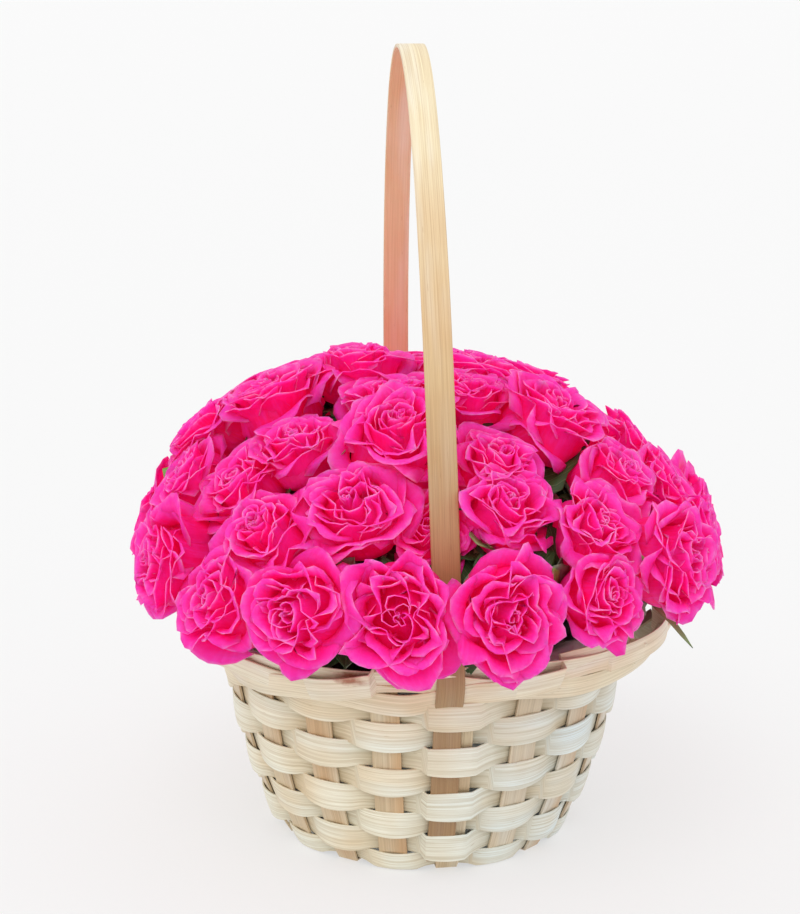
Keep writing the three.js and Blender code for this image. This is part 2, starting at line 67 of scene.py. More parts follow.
camera_data = bpy.data.cameras.new("camera")
camera_data.lens = LENS
camera_data.sensor_width = 36
camera_data.clip_start = 0.01
camera = bpy.data.objects.new("camera", camera_data)
bpy.context.scene.collection.objects.link(camera)
round_by = math.radians(CAMERA_BEARING)
camera.location = (-CAMERA_AWAY * math.sin(round_by), -CAMERA_AWAY * math.cos(round_by), CAMERA_HEIGHT)
turn = math.radians(CAMERA_BEARING + CAMERA_YAW)
pitch = math.radians(CAMERA_PITCH)
looks = Vector((math.sin(turn) * math.cos(pitch), math.cos(turn) * math.cos(pitch), -math.sin(pitch)))
aim = looks.to_track_quat("-Z", "Y")
camera.rotation_mode = "QUATERNION"
camera.rotation_quaternion = aim @ Quaternion((0, 0, 1), math.radians(CAMERA_ROLL))
bpy.context.scene.camera = camera
print("camera at", [round(v, 4) for v in camera.location])

# %% [markdown]
# ## Floor and light
# A studio would stand the basket on a white light table under large soft lamps. Here one wide pale disc,
# which glows a little itself, is the table top. An even pale sky does most of the lighting, and a broad soft
# sun from the upper left gives the petals their form.

# %% floor and light
FLOOR_RADIUS = 60
FLOOR_GAP = 0.2 * MM  # the floor lies this far under the basket, so the two faces don't flicker


def deselect():
    if bpy.context.object and bpy.context.object.mode != "OBJECT":
        bpy.ops.object.mode_set(mode="OBJECT")
    bpy.ops.object.select_all(action="DESELECT")


def only(piece):
    deselect()
    piece.select_set(True)
    bpy.context.view_layer.objects.active = piece


def plain(material, **inputs):
    shader = material.node_tree.nodes["Principled BSDF"]
    for name, value in inputs.items():
        socket = shader.inputs[name.replace("_", " ")]
        socket.default_value = (*value, 1) if socket.type == "RGBA" else value
    return shader


def new_material(name):
    material = bpy.data.materials.new(name)
    material.use_nodes = True
    return material


deselect()
bpy.ops.mesh.primitive_circle_add(vertices=96, radius=FLOOR_RADIUS, fill_type="NGON",
                                  location=(0, 0, -FLOOR_GAP))
floor = bpy.context.object
floor.name = "floor"
paper = new_material("white_paper")
plain(paper, Base_Color=(0.33, 0.33, 0.33), Roughness=0.9, Specular_IOR_Level=0.1,
      Emission_Color=(1.0, 1.0, 1.0), Emission_Strength=0.57)
floor.data.materials.append(paper)

sky = bpy.data.worlds.new("soft_sky")
sky.use_nodes = True
sky.node_tree.nodes["Background"].inputs["Color"].default_value = (1.0, 1.0, 1.0, 1)
sky.node_tree.nodes["Background"].inputs["Strength"].default_value = 0.95
bpy.context.scene.world = sky

lamp_data = bpy.data.lights.new("soft_sun", "SUN")
lamp_data.energy = 0.65
lamp_data.angle = math.radians(40)
lamp = bpy.data.objects.new("soft_sun", lamp_data)
bpy.context.scene.collection.objects.link(lamp)
lamp.rotation_euler = (math.radians(34), math.radians(-18), 0)
bpy.context.scene.view_settings.view_transform = "Standard"

# %% [markdown]
# ## Tools for splints and petals
# Every splint and petal starts as a flat grid, which is how the real ones start: a flat strip of chip wood, a
# flat sheet of petal. A rule in numbers then bends the grid. Weaving over and under 19 stakes, or cupping and
# rolling a petal, can't be done by hand operators without hundreds of steps, and the rule keeps it exact.
# Solidify gives the sheet its thickness and Bevel rounds its edges.

# %% sheet tools
SKYWARD = np.array([0, 0, 1.0])


def flat_sheet(name, across, along):
    """A flat grid, with u from -1 to 1 across and v from 0 to 1 along for each of its points."""
    deselect()
    bpy.ops.mesh.primitive_grid_add(x_subdivisions=across - 1, y_subdivisions=along - 1, size=2)
    sheet = bpy.context.object
    sheet.name = name
    points = points_of(sheet)
    return sheet, points[:, 0], (points[:, 1] + 1) / 2


def points_of(piece):
    flat = np.empty(len(piece.data.vertices) * 3)
    piece.data.vertices.foreach_get("co", flat)
    return flat.reshape(-1, 3)


def put_points(piece, points):
    piece.data.vertices.foreach_set("co", np.ascontiguousarray(points, dtype=float).ravel())
    piece.data.update()


def set_uv(piece, u, v):
    """Writes a length along and a width across, in metres, as the piece's UV map."""
    layer = piece.data.uv_layers.active
    corner = np.empty(len(piece.data.loops), dtype=np.int32)
    piece.data.loops.foreach_get("vertex_index", corner)
    layer.data.foreach_set("uv", np.stack([u[corner], v[corner]], 1).ravel())


def apply(piece, kind, **settings):
    only(piece)
    modifier = piece.modifiers.new(kind.lower(), kind)
    for name, value in settings.items():
        setattr(modifier, name, value)
    bpy.ops.object.modifier_apply(modifier=modifier.name)


def smooth(piece, angle=None):
    only(piece)
    if angle is None:
        bpy.ops.object.shade_smooth()
    else:
        bpy.ops.object.shade_smooth_by_angle(angle=math.radians(angle))


def weld(piece, distance, face_out=False):
    """Joins points that lie on each other, as where the two ends of a ring meet."""
    only(piece)
    bpy.ops.object.mode_set(mode="EDIT")
    bpy.ops.mesh.select_all(action="SELECT")
    bpy.ops.mesh.remove_doubles(threshold=distance)
    if face_out:
        bpy.ops.mesh.normals_make_consistent(inside=False)
    bpy.ops.object.mode_set(mode="OBJECT")


def thicken(piece, thickness, edge, segments, angle):
    """Gives a bent strip its thickness, rounds its edges and shades it smooth."""
    apply(piece, "SOLIDIFY", thickness=thickness, offset=0)
    apply(piece, "BEVEL", width=edge, segments=segments, limit_method="ANGLE", angle_limit=math.radians(60))
    smooth(piece, angle)


def copy_of(blank, name, points, *materials):
    piece = blank.copy()
    piece.data = blank.data.copy()
    piece.name = name
    bpy.context.scene.collection.objects.link(piece)
    put_points(piece, points)
    for material in materials:
        piece.data.materials.append(material)
    return piece


def dress(piece, replaced, slot, *materials):
    """Gives a finished piece its materials and its place in the frame."""
    for material in materials:
        piece.data.materials.append(material)
    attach(piece, "root")
    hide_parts(replaced)


def two_faced(piece):
    """Gives a petal or leaf its thickness, with its second material on the back."""
    apply(piece, "SOLIDIFY", thickness=0.35 * MM, offset=0, material_offset=1)
    smooth(piece)


def unit(vectors):
    return vectors / np.linalg.norm(vectors, axis=-1, keepdims=True)


def turned(x, y, angle):
    """x and y turned by an angle in radians."""
    c, s = math.cos(angle), math.sin(angle)
    return x * c - y * s, x * s + y * c


def ramp(x, a, b):
    """Rises smoothly from 0 at a to 1 at b."""
    share = np.clip((x - a) / (b - a), 0, 1)
    return share * share * (3 - 2 * share)


def wander(x, seed, waves=5, lowest=0.5):
    """A slow random wave with values of about -1 to 1, the same on each run."""
    chance = np.random.default_rng(seed)
    total = np.zeros_like(x, dtype=float)
    for k in range(waves):
        total += np.sin(2 * np.pi * (lowest * (k + 1) * x + chance.uniform())) / (k + 1) ** 0.7
    return total / 2


def outward(bearing):
    """Bearing 0 is the front, -Y, and 90 is +X."""
    angle = np.radians(bearing)
    return np.stack([np.sin(angle), -np.cos(angle), np.zeros_like(angle)], -1)


# %% [markdown]
# ## The wall of the basket
# The stakes lean out a little all the way up and flare at the top. The handle holds the flared top in. These
# are the same numbers as in the CAD model, so every splint lies where its solid does.

# %% wall
WALL_RADIUS = np.array([69.8, 75.9, 85.4, 92.3, 97.2, 100.8, 114]) * MM
WALL_HEIGHT = np.array([1, 11.6, 36, 60.4, 84.8, 97, 106.6]) * MM
TOP_RADIUS_AT_HANDLE = 105.5 * MM
STAKE_TURN = 3.3  # the front stake stands this far round from the handle, in degrees
EVEN_STEP = 20  # degrees between stakes, apart from the five gaps at the back left
BACK_STEP = 16
TURN_START = -128.8  # the weaver's turns start just before this stake
even = [EVEN_STEP * i for i in range(-5, 10)]
STAKES = STAKE_TURN + np.array(even + [even[0] + 360 - BACK_STEP * i for i in range(1, 5)])
STAKES = np.sort(np.mod(STAKES - TURN_START, 360)) + TURN_START


def wall_at(bearing, height, off=0.0):
    """Centre point and outward normal of the wall at bearings and heights, moved off it outwards."""
    pull = np.cos(np.radians(bearing)) ** 6
    bulge = np.interp(height, WALL_HEIGHT, WALL_RADIUS)
    flare = np.clip((height - WALL_HEIGHT[5]) / (WALL_HEIGHT[6] - WALL_HEIGHT[5]), 0, 1.6)
    top = WALL_RADIUS[6] + (TOP_RADIUS_AT_HANDLE - WALL_RADIUS[6]) * pull
    radius = np.where(height > WALL_HEIGHT[5], WALL_RADIUS[5] + (top - WALL_RADIUS[5]) * flare, bulge)
    step = 3 * MM
    slope = np.interp(height + step, WALL_HEIGHT, WALL_RADIUS)
    slope = slope - np.interp(height - step, WALL_HEIGHT, WALL_RADIUS)
    rise = np.minimum(height + step, WALL_HEIGHT[-1]) - np.maximum(height - step, WALL_HEIGHT[0])
    length = np.hypot(slope, rise)
    normal = outward(bearing) * (rise / length)[..., None]
    normal[..., 2] = -slope / length
    centre = outward(bearing) * radius[..., None]
    centre[..., 2] = height
    return centre + normal * np.asarray(off)[..., None], normal


def up_along(normal):
    """The direction up a wall that has this normal."""
    return unit(np.cross(normal, np.cross(SKYWARD, normal)))


print("stakes at", np.round(STAKES, 1))

# %% [markdown]
# ## Chip wood
# The splints are thin unvarnished chip wood. It has long parallel fibres, so the grain runs with each splint,
# and every splint has its own shade: cream, greenish grey or pinkish tan. The grain is one node group that
# several wood materials share. It reads the splint's own UV map, in metres, because the fibres follow the
# bends.

# %% wood grain group
def link(tree, start, end):
    tree.links.new(start, end)


def math_node(tree, operation, *values):
    node = tree.nodes.new("ShaderNodeMath")
    node.operation = operation
    for socket, value in zip(node.inputs, values):
        if isinstance(value, (int, float)):
            socket.default_value = value
        else:
            link(tree, value, socket)
    return node.outputs[0]


def times(tree, first, second):
    return math_node(tree, "MULTIPLY", first, second)


def plus(tree, first, second):
    return math_node(tree, "ADD", first, second)


def mix_colour(tree, share, first, second, blend="MIX"):
    node = tree.nodes.new("ShaderNodeMix")
    node.data_type = "RGBA"
    node.blend_type = blend
    for socket, value in ((node.inputs[0], share), (node.inputs[6], first), (node.inputs[7], second)):
        if isinstance(value, (int, float)):
            socket.default_value = value
        elif isinstance(value, tuple):
            socket.default_value = (*value, 1)
        else:
            link(tree, value, socket)
    return node.outputs[2]


def tinted(tree, colour, tint):
    return mix_colour(tree, 1.0, colour, tint, "MULTIPLY")


def noise(tree, vector, scale, detail=3.0):
    node = tree.nodes.new("ShaderNodeTexNoise")
    node.inputs["Scale"].default_value = scale
    node.inputs["Detail"].default_value = detail
    node.inputs["Roughness"].default_value = 0.55
    link(tree, vector, node.inputs["Vector"])
    return node.outputs["Fac"]


def stretched(tree, vector, size):
    node = tree.nodes.new("ShaderNodeVectorMath")
    node.operation = "MULTIPLY"
    node.inputs[1].default_value = size
    link(tree, vector, node.inputs[0])
    return node.outputs[0]


def colour_steps(tree, value, *stops):
    """A colour ramp through (place, colour) stops."""
    node = tree.nodes.new("ShaderNodeValToRGB")
    band = node.color_ramp
    while len(band.elements) < len(stops):
        band.elements.new(0.5)
    for element, (place, colour) in zip(band.elements, stops):
        element.position = place
        element.color = (*colour, 1)
    link(tree, value, node.inputs[0])
    return node.outputs[0]


def steps(tree, value, *stops):
    """The same ramp through (place, grey) stops."""
    return colour_steps(tree, value, *((place, (grey, grey, grey)) for place, grey in stops))


def parts_of(tree, vector):
    node = tree.nodes.new("ShaderNodeSeparateXYZ")
    link(tree, vector, node.inputs[0])
    return node.outputs


def vector_of(tree, *parts):
    node = tree.nodes.new("ShaderNodeCombineXYZ")
    for part, socket in zip(parts, node.inputs):
        link(tree, part, socket)
    return node.outputs[0]


def place_in(tree):
    return tree.nodes.new("ShaderNodeTexCoord").outputs["Object"]


def uv_in(tree):
    return tree.nodes.new("ShaderNodeUVMap").outputs[0]


def dent(tree, shader, height, strength, depth):
    """Lets a pattern rise and dip, by up to a depth in metres."""
    node = tree.nodes.new("ShaderNodeBump")
    node.inputs["Strength"].default_value = strength
    node.inputs["Distance"].default_value = depth
    link(tree, height, node.inputs["Height"])
    link(tree, node.outputs[0], shader.inputs["Normal"])


grain = bpy.data.node_groups.new("chip_wood_grain", "ShaderNodeTree")
for name, kind in (("Fibre Vector", "NodeSocketVector"), ("Wood", "NodeSocketColor"),
                   ("Dark Fibre", "NodeSocketColor"), ("Tint", "NodeSocketColor"),
                   ("Cool", "NodeSocketColor"), ("Fibre Strength", "NodeSocketFloat")):
    grain.interface.new_socket(name, in_out="INPUT", socket_type=kind)
for name, kind in (("Color", "NodeSocketColor"), ("Height", "NodeSocketFloat"),
                   ("Roughness", "NodeSocketFloat")):
    grain.interface.new_socket(name, in_out="OUTPUT", socket_type=kind)
asked = grain.nodes.new("NodeGroupInput").outputs
given = grain.nodes.new("NodeGroupOutput").inputs


def fibres(along, across, detail):
    """Noise with so many patches in a metre along the fibres and across them."""
    return noise(grain, stretched(grain, asked["Fibre Vector"], (along, across, 1)), 1.0, detail)


fine = fibres(34, 2600, 4)
coarse = fibres(13, 820, 3)
dark = times(grain, steps(grain, coarse, (0.38, 1.0), (0.56, 0.0)), asked["Fibre Strength"])
thin = times(grain, steps(grain, fine, (0.36, 1.0), (0.62, 0.0)), asked["Fibre Strength"])
shade = asked["Wood"]
for share, colour in (
        (steps(grain, fibres(26, 8, 2), (0.38, 0.0), (0.66, 0.9)), "Tint"),
        (steps(grain, fibres(17, 60, 2), (0.46, 0.0), (0.72, 0.8)), "Cool"),
        (times(grain, dark, 0.40), "Dark Fibre"),
        (times(grain, thin, 0.35), "Dark Fibre"),
        (steps(grain, fibres(120, 700, 1), (0.74, 0.0), (0.80, 0.7)), "Dark Fibre")):
    shade = mix_colour(grain, share, shade, asked[colour])
link(grain, shade, given["Color"])
link(grain, plus(grain, times(grain, fine, 0.6), times(grain, coarse, 0.4)), given["Height"])
link(grain, plus(grain, times(grain, fine, 0.30), 0.30), given["Roughness"])
print("grain group sockets:", len(grain.interface.items_tree))


# %% wood materials
def wood(name, colour, dark_fibre, tint, cool, strength=1.0, vector=uv_in, tone=None):
    """One wood finish. vector builds the fibre direction in its tree, tone a colour that tints the wood; some
    tones are painted light and shade.
    """
    material = new_material(name)
    tree = material.node_tree
    shader = plain(material, Specular_IOR_Level=0.55)
    group = tree.nodes.new("ShaderNodeGroup")
    group.node_tree = grain
    link(tree, vector(tree), group.inputs["Fibre Vector"])
    for socket, value in (("Wood", colour), ("Dark Fibre", dark_fibre), ("Tint", tint), ("Cool", cool)):
        group.inputs[socket].default_value = (*value, 1)
    group.inputs["Fibre Strength"].default_value = strength
    shade = group.outputs["Color"]
    if tone is not None:
        shade = tinted(tree, shade, tone(tree))
    link(tree, shade, shader.inputs["Base Color"])
    link(tree, group.outputs["Roughness"], shader.inputs["Roughness"])
    dent(tree, shader, group.outputs["Height"], 0.35, 0.6 * MM)
    return material


def upright_fibre(tree):
    """Fibres that run up the wall, from Object coordinates: height along, distance round the wall across."""
    x, y, z = parts_of(tree, place_in(tree))
    return vector_of(tree, z, times(tree, math_node(tree, "ARCTAN2", x, y), WALL_MIDDLE))


def rightness(tree, place):
    """How far to the right a point lies, from 0 to 1 over a metre."""
    return plus(tree, place[0], 0.5)


def weaver_painted_light_and_tint(tree):
    """Painted highlight where the weaver bows out over a stake, painted shade where it dives behind one, a
    painted cool light on the right side; pinker in the upper rows.
    """
    along = parts_of(tree, uv_in(tree))[0]
    bow = math_node(tree, "COSINE", times(tree, along, math.pi / STAKE_STEP))
    bow = math_node(tree, "MULTIPLY_ADD", bow, 0.5, 0.5)
    # painted highlight on the crest of each bow, painted shade where the weaver dives behind a stake
    tone = colour_steps(tree, bow, (0.05, (0.66, 0.60, 0.50)), (0.50, (0.90, 0.87, 0.82)), (0.95, WHITE))
    place = parts_of(tree, place_in(tree))
    # painted cool light on the right side of the basket
    cooler = colour_steps(tree, rightness(tree, place),
                          (0.47, (0.95, 0.97, 0.93)), (0.56, (0.85, 0.965, 1.09)))
    pinker = colour_steps(tree, place[2], (0.070, WHITE), (0.092, (1.0, 0.92, 0.85)))
    return tinted(tree, tinted(tree, tone, cooler), pinker)


def stake_tint_and_side_light(tree):
    """Each stake has its own tint; a painted cool light falls on the ones on the right."""
    own = noise(tree, stretched(tree, upright_fibre(tree), (2, 26, 1)), 1.0, 1)
    tone = colour_steps(tree, own,
                        (0.36, (0.90, 0.74, 0.58)), (0.50, (1.0, 0.98, 0.93)), (0.66, (0.90, 0.86, 0.76)))
    right = rightness(tree, parts_of(tree, place_in(tree)))
    # painted cool light on the stakes of the right side
    return tinted(tree, tone, colour_steps(tree, right, (0.50, WHITE), (0.56, (1.0, 1.10, 1.32))))


def rim_red_brown_patch(tree):
    """One brown-red patch on the rim, left of the handle."""
    place = place_in(tree)
    apart = tree.nodes.new("ShaderNodeVectorMath")
    apart.operation = "DISTANCE"
    link(tree, stretched(tree, place, (1, 1, 3)), apart.inputs[0])
    apart.inputs[1].default_value = (RED_BROWN_PATCH_AT[0], RED_BROWN_PATCH_AT[1], 3 * RED_BROWN_PATCH_AT[2])
    ragged = plus(tree, apart.outputs["Value"], times(tree, noise(tree, place, 300, 3), 0.010))
    return colour_steps(tree, ragged, (0.0095, (0.50, 0.22, 0.16)), (0.0135, WHITE))


def handle_painted_shade(tree):
    """Painted shade that makes the handle darker and browner towards the basket; its top keeps the wood's
    colour.
    """
    high = parts_of(tree, place_in(tree))[2]
    # painted shade, darkest low on the legs and fading out towards the top of the arch
    return colour_steps(tree, high, (0.06, (0.40, 0.28, 0.19)), (0.17, (0.52, 0.38, 0.26)),
                        (0.27, (0.82, 0.68, 0.55)), (0.35, (0.96, 0.97, 0.97)))


STAKE_STEP = 0.028  # how much of the weaver's UV length lies between two stakes
WALL_MIDDLE = 0.095  # the wall's usual radius, which turns an angle into a distance round it
# the middle of the brown-red patch on the rim
RED_BROWN_PATCH_AT = (-0.0445, -0.1035, 0.1100)
WHITE = (1.0, 1.0, 1.0)
CREAM = (0.99, 0.95, 0.82)
HONEY = (0.52, 0.39, 0.22)
straw = wood("straw_splint", CREAM, HONEY, (0.90, 0.72, 0.50), (0.93, 0.97, 0.92), tone=weaver_painted_light_and_tint)
pale_rim = wood("pale_rim_splint", (0.93, 0.86, 0.68), HONEY, (0.84, 0.66, 0.46), (0.88, 0.88, 0.80),
                tone=rim_red_brown_patch)
rim_straw = wood("rim_splint", (0.90, 0.80, 0.60), HONEY, (0.82, 0.63, 0.44), (0.88, 0.86, 0.76),
                 tone=rim_red_brown_patch)
stake_tan = wood("tan_stake", (0.74, 0.62, 0.43), (0.42, 0.30, 0.18), (0.66, 0.48, 0.30), (0.76, 0.71, 0.58),
                 vector=upright_fibre, tone=stake_tint_and_side_light)
handle_wood = wood("handle_splint", (1.0, 0.88, 0.60), (0.50, 0.30, 0.15),
                   (0.95, 0.76, 0.48), (1.0, 0.94, 0.78),
                   strength=0.8, tone=handle_painted_shade)
handle_inside = wood("handle_inside", (0.84, 0.58, 0.34), (0.52, 0.26, 0.13),
                     (0.80, 0.50, 0.26), (0.86, 0.68, 0.52),
                     strength=0.6)

# %% [markdown]
# ## The weaver
# On the real basket one long flat splint is woven round and round, over one stake and behind the next. The
# stakes are 19, so each turn crosses them the other way, and it climbs to the next row in a gap at the back.
# It could be bent with a lattice, but a rule is surer: the splint is a very long flat sheet, its height steps
# up once a turn and its distance from the wall swings out and in. It bows out over a stake, where its lower
# edge also sags.

# %% weaver
ROWS = 8
ROW_PITCH = 12.2 * MM
FIRST_ROW = 5.4 * MM  # height of the lowest row's middle
PER_GAP = 12  # samples between two stakes
CHIP_THICK = 0.9 * MM
CHIP_EDGE = 0.2 * MM
BOW_OUT = 1.8  # mm that the weaver stands off the wall over a stake
TUCK_IN = 1.7  # mm that it lies inside the wall behind a stake
HANDLE_BEARING = 1.75  # where the weaver meets the middle of the handle, in degrees
HOLD_OUT = 3.45 * MM  # how far out the weaver stands where it holds the handle

count = len(STAKES)
total = ROWS * count
weaver, u, v = flat_sheet("weaver", 7, (total - 1) * PER_GAP + 1)
along = v * (total - 1)
turns = np.floor((along + 1e-6) / count)
one_turn = np.append(STAKES, STAKES[0] + 360)
bearing = np.interp(along - turns * count, np.arange(count + 1), one_turn) + 360 * turns
climb = ramp(along - turns * count, count - 2.7, count - 0.1)
row = turns + climb
row_height = FIRST_ROW + ROW_PITCH * row + 1.2 * MM * ramp(-row, -0.8, 0)
over = np.cos(np.pi * along)
swing = np.sign(over) * np.abs(over) ** 0.75
bowed = np.clip(swing, 0, 1)
handle_off = np.abs(np.mod(bearing - HANDLE_BEARING + 90, 180) - 90)
holds = (1 - ramp(handle_off, 6.4, 9.4)) * ramp(over, -0.05, 0.25)
rng = np.random.default_rng(19)
each = rng.uniform(-1, 1, (total + 2, 4))
wob = np.stack([np.interp(along, np.arange(total + 2), each[:, k]) for k in range(4)])
sideways = np.abs(np.sin(np.radians(bearing))) ** 3  # the bows stand out further at the two sides
out = np.where(swing > 0, BOW_OUT + 0.4 * sideways + 0.3 * wob[0], TUCK_IN) * swing * MM
out = out + holds * np.maximum(HOLD_OUT - out, 0)
half = (6.75 + 0.35 * bowed + 0.25 * wob[1]) * MM * np.where(row < 0.9, 0.80, 1)
sag = (0.35 * wob[2] - 0.45 * np.clip(swing, -0.3, 1)) * MM
lower = 1 + np.where(u < 0, 0.15, -0.01) * bowed
centre, normal = wall_at(bearing, row_height + sag, out)
crown = (0.35 * bowed + 0.1) * MM * (1 - u ** 2)
tip = (0.15 * wob[3] - 0.60 * (1 - np.abs(swing)) - 0.65 * bowed) * MM * u
place = centre + up_along(normal) * (u * half * lower)[:, None] + normal * (crown + tip)[:, None]
place[:, 2] = np.maximum(place[:, 2], 0.6 * MM)
put_points(weaver, place)
set_uv(weaver, along * STAKE_STEP, u * half + 0.013 * np.floor(along / 2.0 + 0.25))
thicken(weaver, CHIP_THICK, CHIP_EDGE, 1, 40)
dress(weaver, "basket_weaver", "weaver_chip", straw)
print("weaver faces", len(weaver.data.polygons))

# %% stakes
def refinish(name, material):
    """A CAD node keeps its shape and gets this finish."""
    for slot in nodes[name].material_slots:
        slot.material = material


refinish("basket_stakes", stake_tan)

# %% [markdown]
# ## The rim
# Two long splints are laced round the flared top, crossing each other in long shallow slants, and a third
# lies inside. Each is a flat sheet whose height and depth swing slowly, one against the other, so they cross
# as laced splints do and never run through each other.

# %% rim
RIM_MIDDLE = 101.4 * MM
RIM_WAVES = 7
RIM_LENGTH = 0.69  # about the length of a rim splint, for its grain


def rim_lean(bearing):
    """The rim of this basket stands higher on the right than on the left."""
    return 2.6 * MM * np.sin(np.radians(bearing))


def rim_splint(name, phase, half_width, off, rise, lift, material, replaced):
    """One splint of the rim. It rises and dips by rise round a level, and stands off the wall by off."""
    sheet, u, v = flat_sheet(name, 7, 361)
    bearing = 360 * v
    slant = np.radians(RIM_WAVES * bearing + phase)
    in_and_out = np.cos(slant)
    level = RIM_MIDDLE + lift + rise * np.sin(slant) + 0.4 * MM * wander(v, len(name)) + rim_lean(bearing)
    near = np.exp(-((np.mod(bearing + 90, 180) - 90) / 9.0) ** 4) * (off > 0)
    sideways = np.abs(np.sin(np.radians(bearing))) ** 3 * (off > 0)
    right = np.clip(np.sin(np.radians(bearing)), 0, 1) ** 3 * (off > 0)
    away = off + (0.75 * in_and_out + 0.5 * sideways + 2.0 * right) * MM
    away = away * (1 - near) + (1.9 + 0.45 * in_and_out) * MM * near
    half = half_width * (1 + 0.06 * wander(v, 7 + len(name), 9, 2))
    centre, normal = wall_at(bearing, level, away)
    centre[v == 1] = centre[v == 0]
    facing = 0.35 * normal + 0.65 * outward(bearing)
    facing[:, 2] = normal[:, 2] * 0.55
    facing = unit(facing)
    place = centre + up_along(facing) * (u * half)[:, None] + facing * (0.5 * MM * (1 - u ** 2))[:, None]
    put_points(sheet, place)
    set_uv(sheet, v * RIM_LENGTH, u * half + 0.021 * len(name))
    weld(sheet, 1e-6, face_out=True)
    thicken(sheet, CHIP_THICK, CHIP_EDGE, 1, 40)
    dress(sheet, replaced, "weaver_chip", material)


rim_splint("rim_splint_first", 0, 6.8 * MM, 3.3 * MM, 3.3 * MM, 0, rim_straw, "rim_band_outer")
rim_splint("rim_splint_second", 180, 6.8 * MM, 2.6 * MM, 3.3 * MM, 6.2 * MM, pale_rim, "rim_band_outer")
rim_splint("rim_splint_inside", 90, 5.5 * MM, -2.0 * MM, 0.6 * MM, 6.5 * MM, pale_rim, "rim_band_inner")

# %% [markdown]
# ## The handle
# One thicker splint goes up outside the front stake, over in a tall arch and down outside the back stake. It
# is smooth, with dark long grain. A wide flat sheet is swept along the same line as the CAD hoop, given its
# thickness, and its edges are rounded as sanded edges are.

# %% handle
HANDLE_WIDTH = 13 * MM
HANDLE_THICK = 1.8 * MM
ARCH_FROM = 110 * MM
ARCH_TOP = (385 - 0.9) * MM
ARCH_RADIUS = 106.5 * MM
HANDLE_POINTS = 260


def handle_line(share):
    """The hoop's middle line from the front end of the arch to the back end."""
    side = np.where(share < 0.5, -1, 1)
    angle = np.pi * np.minimum(share, 1 - share)
    high = ARCH_FROM + (ARCH_TOP - ARCH_FROM) * np.sin(angle)
    bow = 3.5 * MM * np.maximum(0, 1 - (high - ARCH_FROM) / (30 * MM)) ** 1.6
    share_up = (high - ARCH_FROM) / (ARCH_TOP - ARCH_FROM)
    lean = 5.7 * MM * share_up ** 0.66 + 2.8 * MM * share_up
    return np.stack([-lean, side * (ARCH_RADIUS * np.cos(angle) + bow), high], -1)


leg_heights = np.array([8, 11.6, 20, 28, 36, 44, 52, 60.4, 68, 76, 84.8, 96.4]) * MM
leg, _ = wall_at(np.zeros(len(leg_heights)), leg_heights, 1.75 * MM)
pass_rim, _ = wall_at(np.zeros(2), np.array([101, 106.2]) * MM, 4.15 * MM)
front = np.vstack([leg, pass_rim])
line = np.vstack([front, handle_line(np.linspace(0, 1, 121)), (front * (1, -1, 1))[::-1]])
length = np.concatenate([[0], np.cumsum(np.linalg.norm(np.diff(line, axis=0), axis=1))])
even = np.linspace(0, length[-1], HANDLE_POINTS)
path = np.stack([np.interp(even, length, line[:, k]) for k in range(3)], 1)
for _ in range(3):
    path[1:-1] = (path[:-2] + 2 * path[1:-1] + path[2:]) / 4
hoop, u, v = flat_sheet("handle_hoop", 7, HANDLE_POINTS)
half = HANDLE_WIDTH / 2 * (1 + 0.015 * wander(v, 4, 6, 1.5))
place = path[np.round(v * (HANDLE_POINTS - 1)).astype(int)]
place[:, 0] += u * half
put_points(hoop, place)
set_uv(hoop, v * length[-1], 2 * (u * HANDLE_WIDTH / 2) + 0.05)  # its grain is twice as fine as the weaver's
thicken(hoop, HANDLE_THICK, 0.5 * MM, 2, 50)
dress(hoop, "handle", "handle_wood", handle_wood, handle_inside)
inner = 0
for face in hoop.data.polygons:
    towards_middle = Vector((0, 0, min(face.center.z, 0.20))) - face.center
    if abs(face.normal.x) < 0.5 and face.normal.dot(towards_middle) > 0:
        face.material_index = 1
        inner += 1
print("faces inside the handle", inner)
print("handle length", round(length[-1], 3))

# %% [markdown]
# ## The liner
# A cup of thin milky film keeps the wet foam off the wood. Its lip stands up inside the rim and is crinkled.
# It starts as an open cylinder, which a rule lays against the wall and crinkles more towards the lip.

# %% liner
FOLD_FROM = 0.80  # the share of the film that stands against the wall; the rest folds in over the foam
FOLD_DEPTH = 17 * MM
FILM_FROM = 3  # the film starts this high, in mm, and stands this high
FILM_HIGH = 105

film, u, v = flat_sheet("liner_film", 181, 18)
bearing = 180 * (u + 1)
stand = np.clip(v / FOLD_FROM, 0, 1)
fold = np.clip((v - FOLD_FROM) / (1 - FOLD_FROM), 0, 1)
high = (FILM_FROM + FILM_HIGH * stand) * MM
crinkle = (0.2 + 0.9 * stand ** 3 + 1.4 * fold) * MM
crinkle *= wander(bearing / 360, 5, 9, 5) + 0.6 * wander(bearing / 360 + v * 0.2, 6, 5, 23)
by_wall = np.clip(high, WALL_HEIGHT[0], WALL_HEIGHT[5] + 3 * MM)
inside, _ = wall_at(bearing, by_wall, -3.6 * MM * np.ones_like(v))
place = inside + outward(bearing) * (crinkle - 0.7 * MM - FOLD_DEPTH * fold)[:, None]
place[:, 2] = high + (1.5 * np.sin(np.pi * fold) - 5 * fold) * MM
place[:, 2] += (1.3 * stand ** 6 + 1.2 * fold) * MM * wander(bearing / 360, 8, 7, 6)
place[:, 2] += stand ** 6 * rim_lean(bearing)
place[:, 2] += 4 * MM * stand ** 6 * np.exp(-((bearing - 48) / 24.0) ** 4)  # higher, right of the handle
put_points(film, place)
weld(film, 1e-5)
apply(film, "SOLIDIFY", thickness=0.25 * MM, offset=0)
smooth(film)

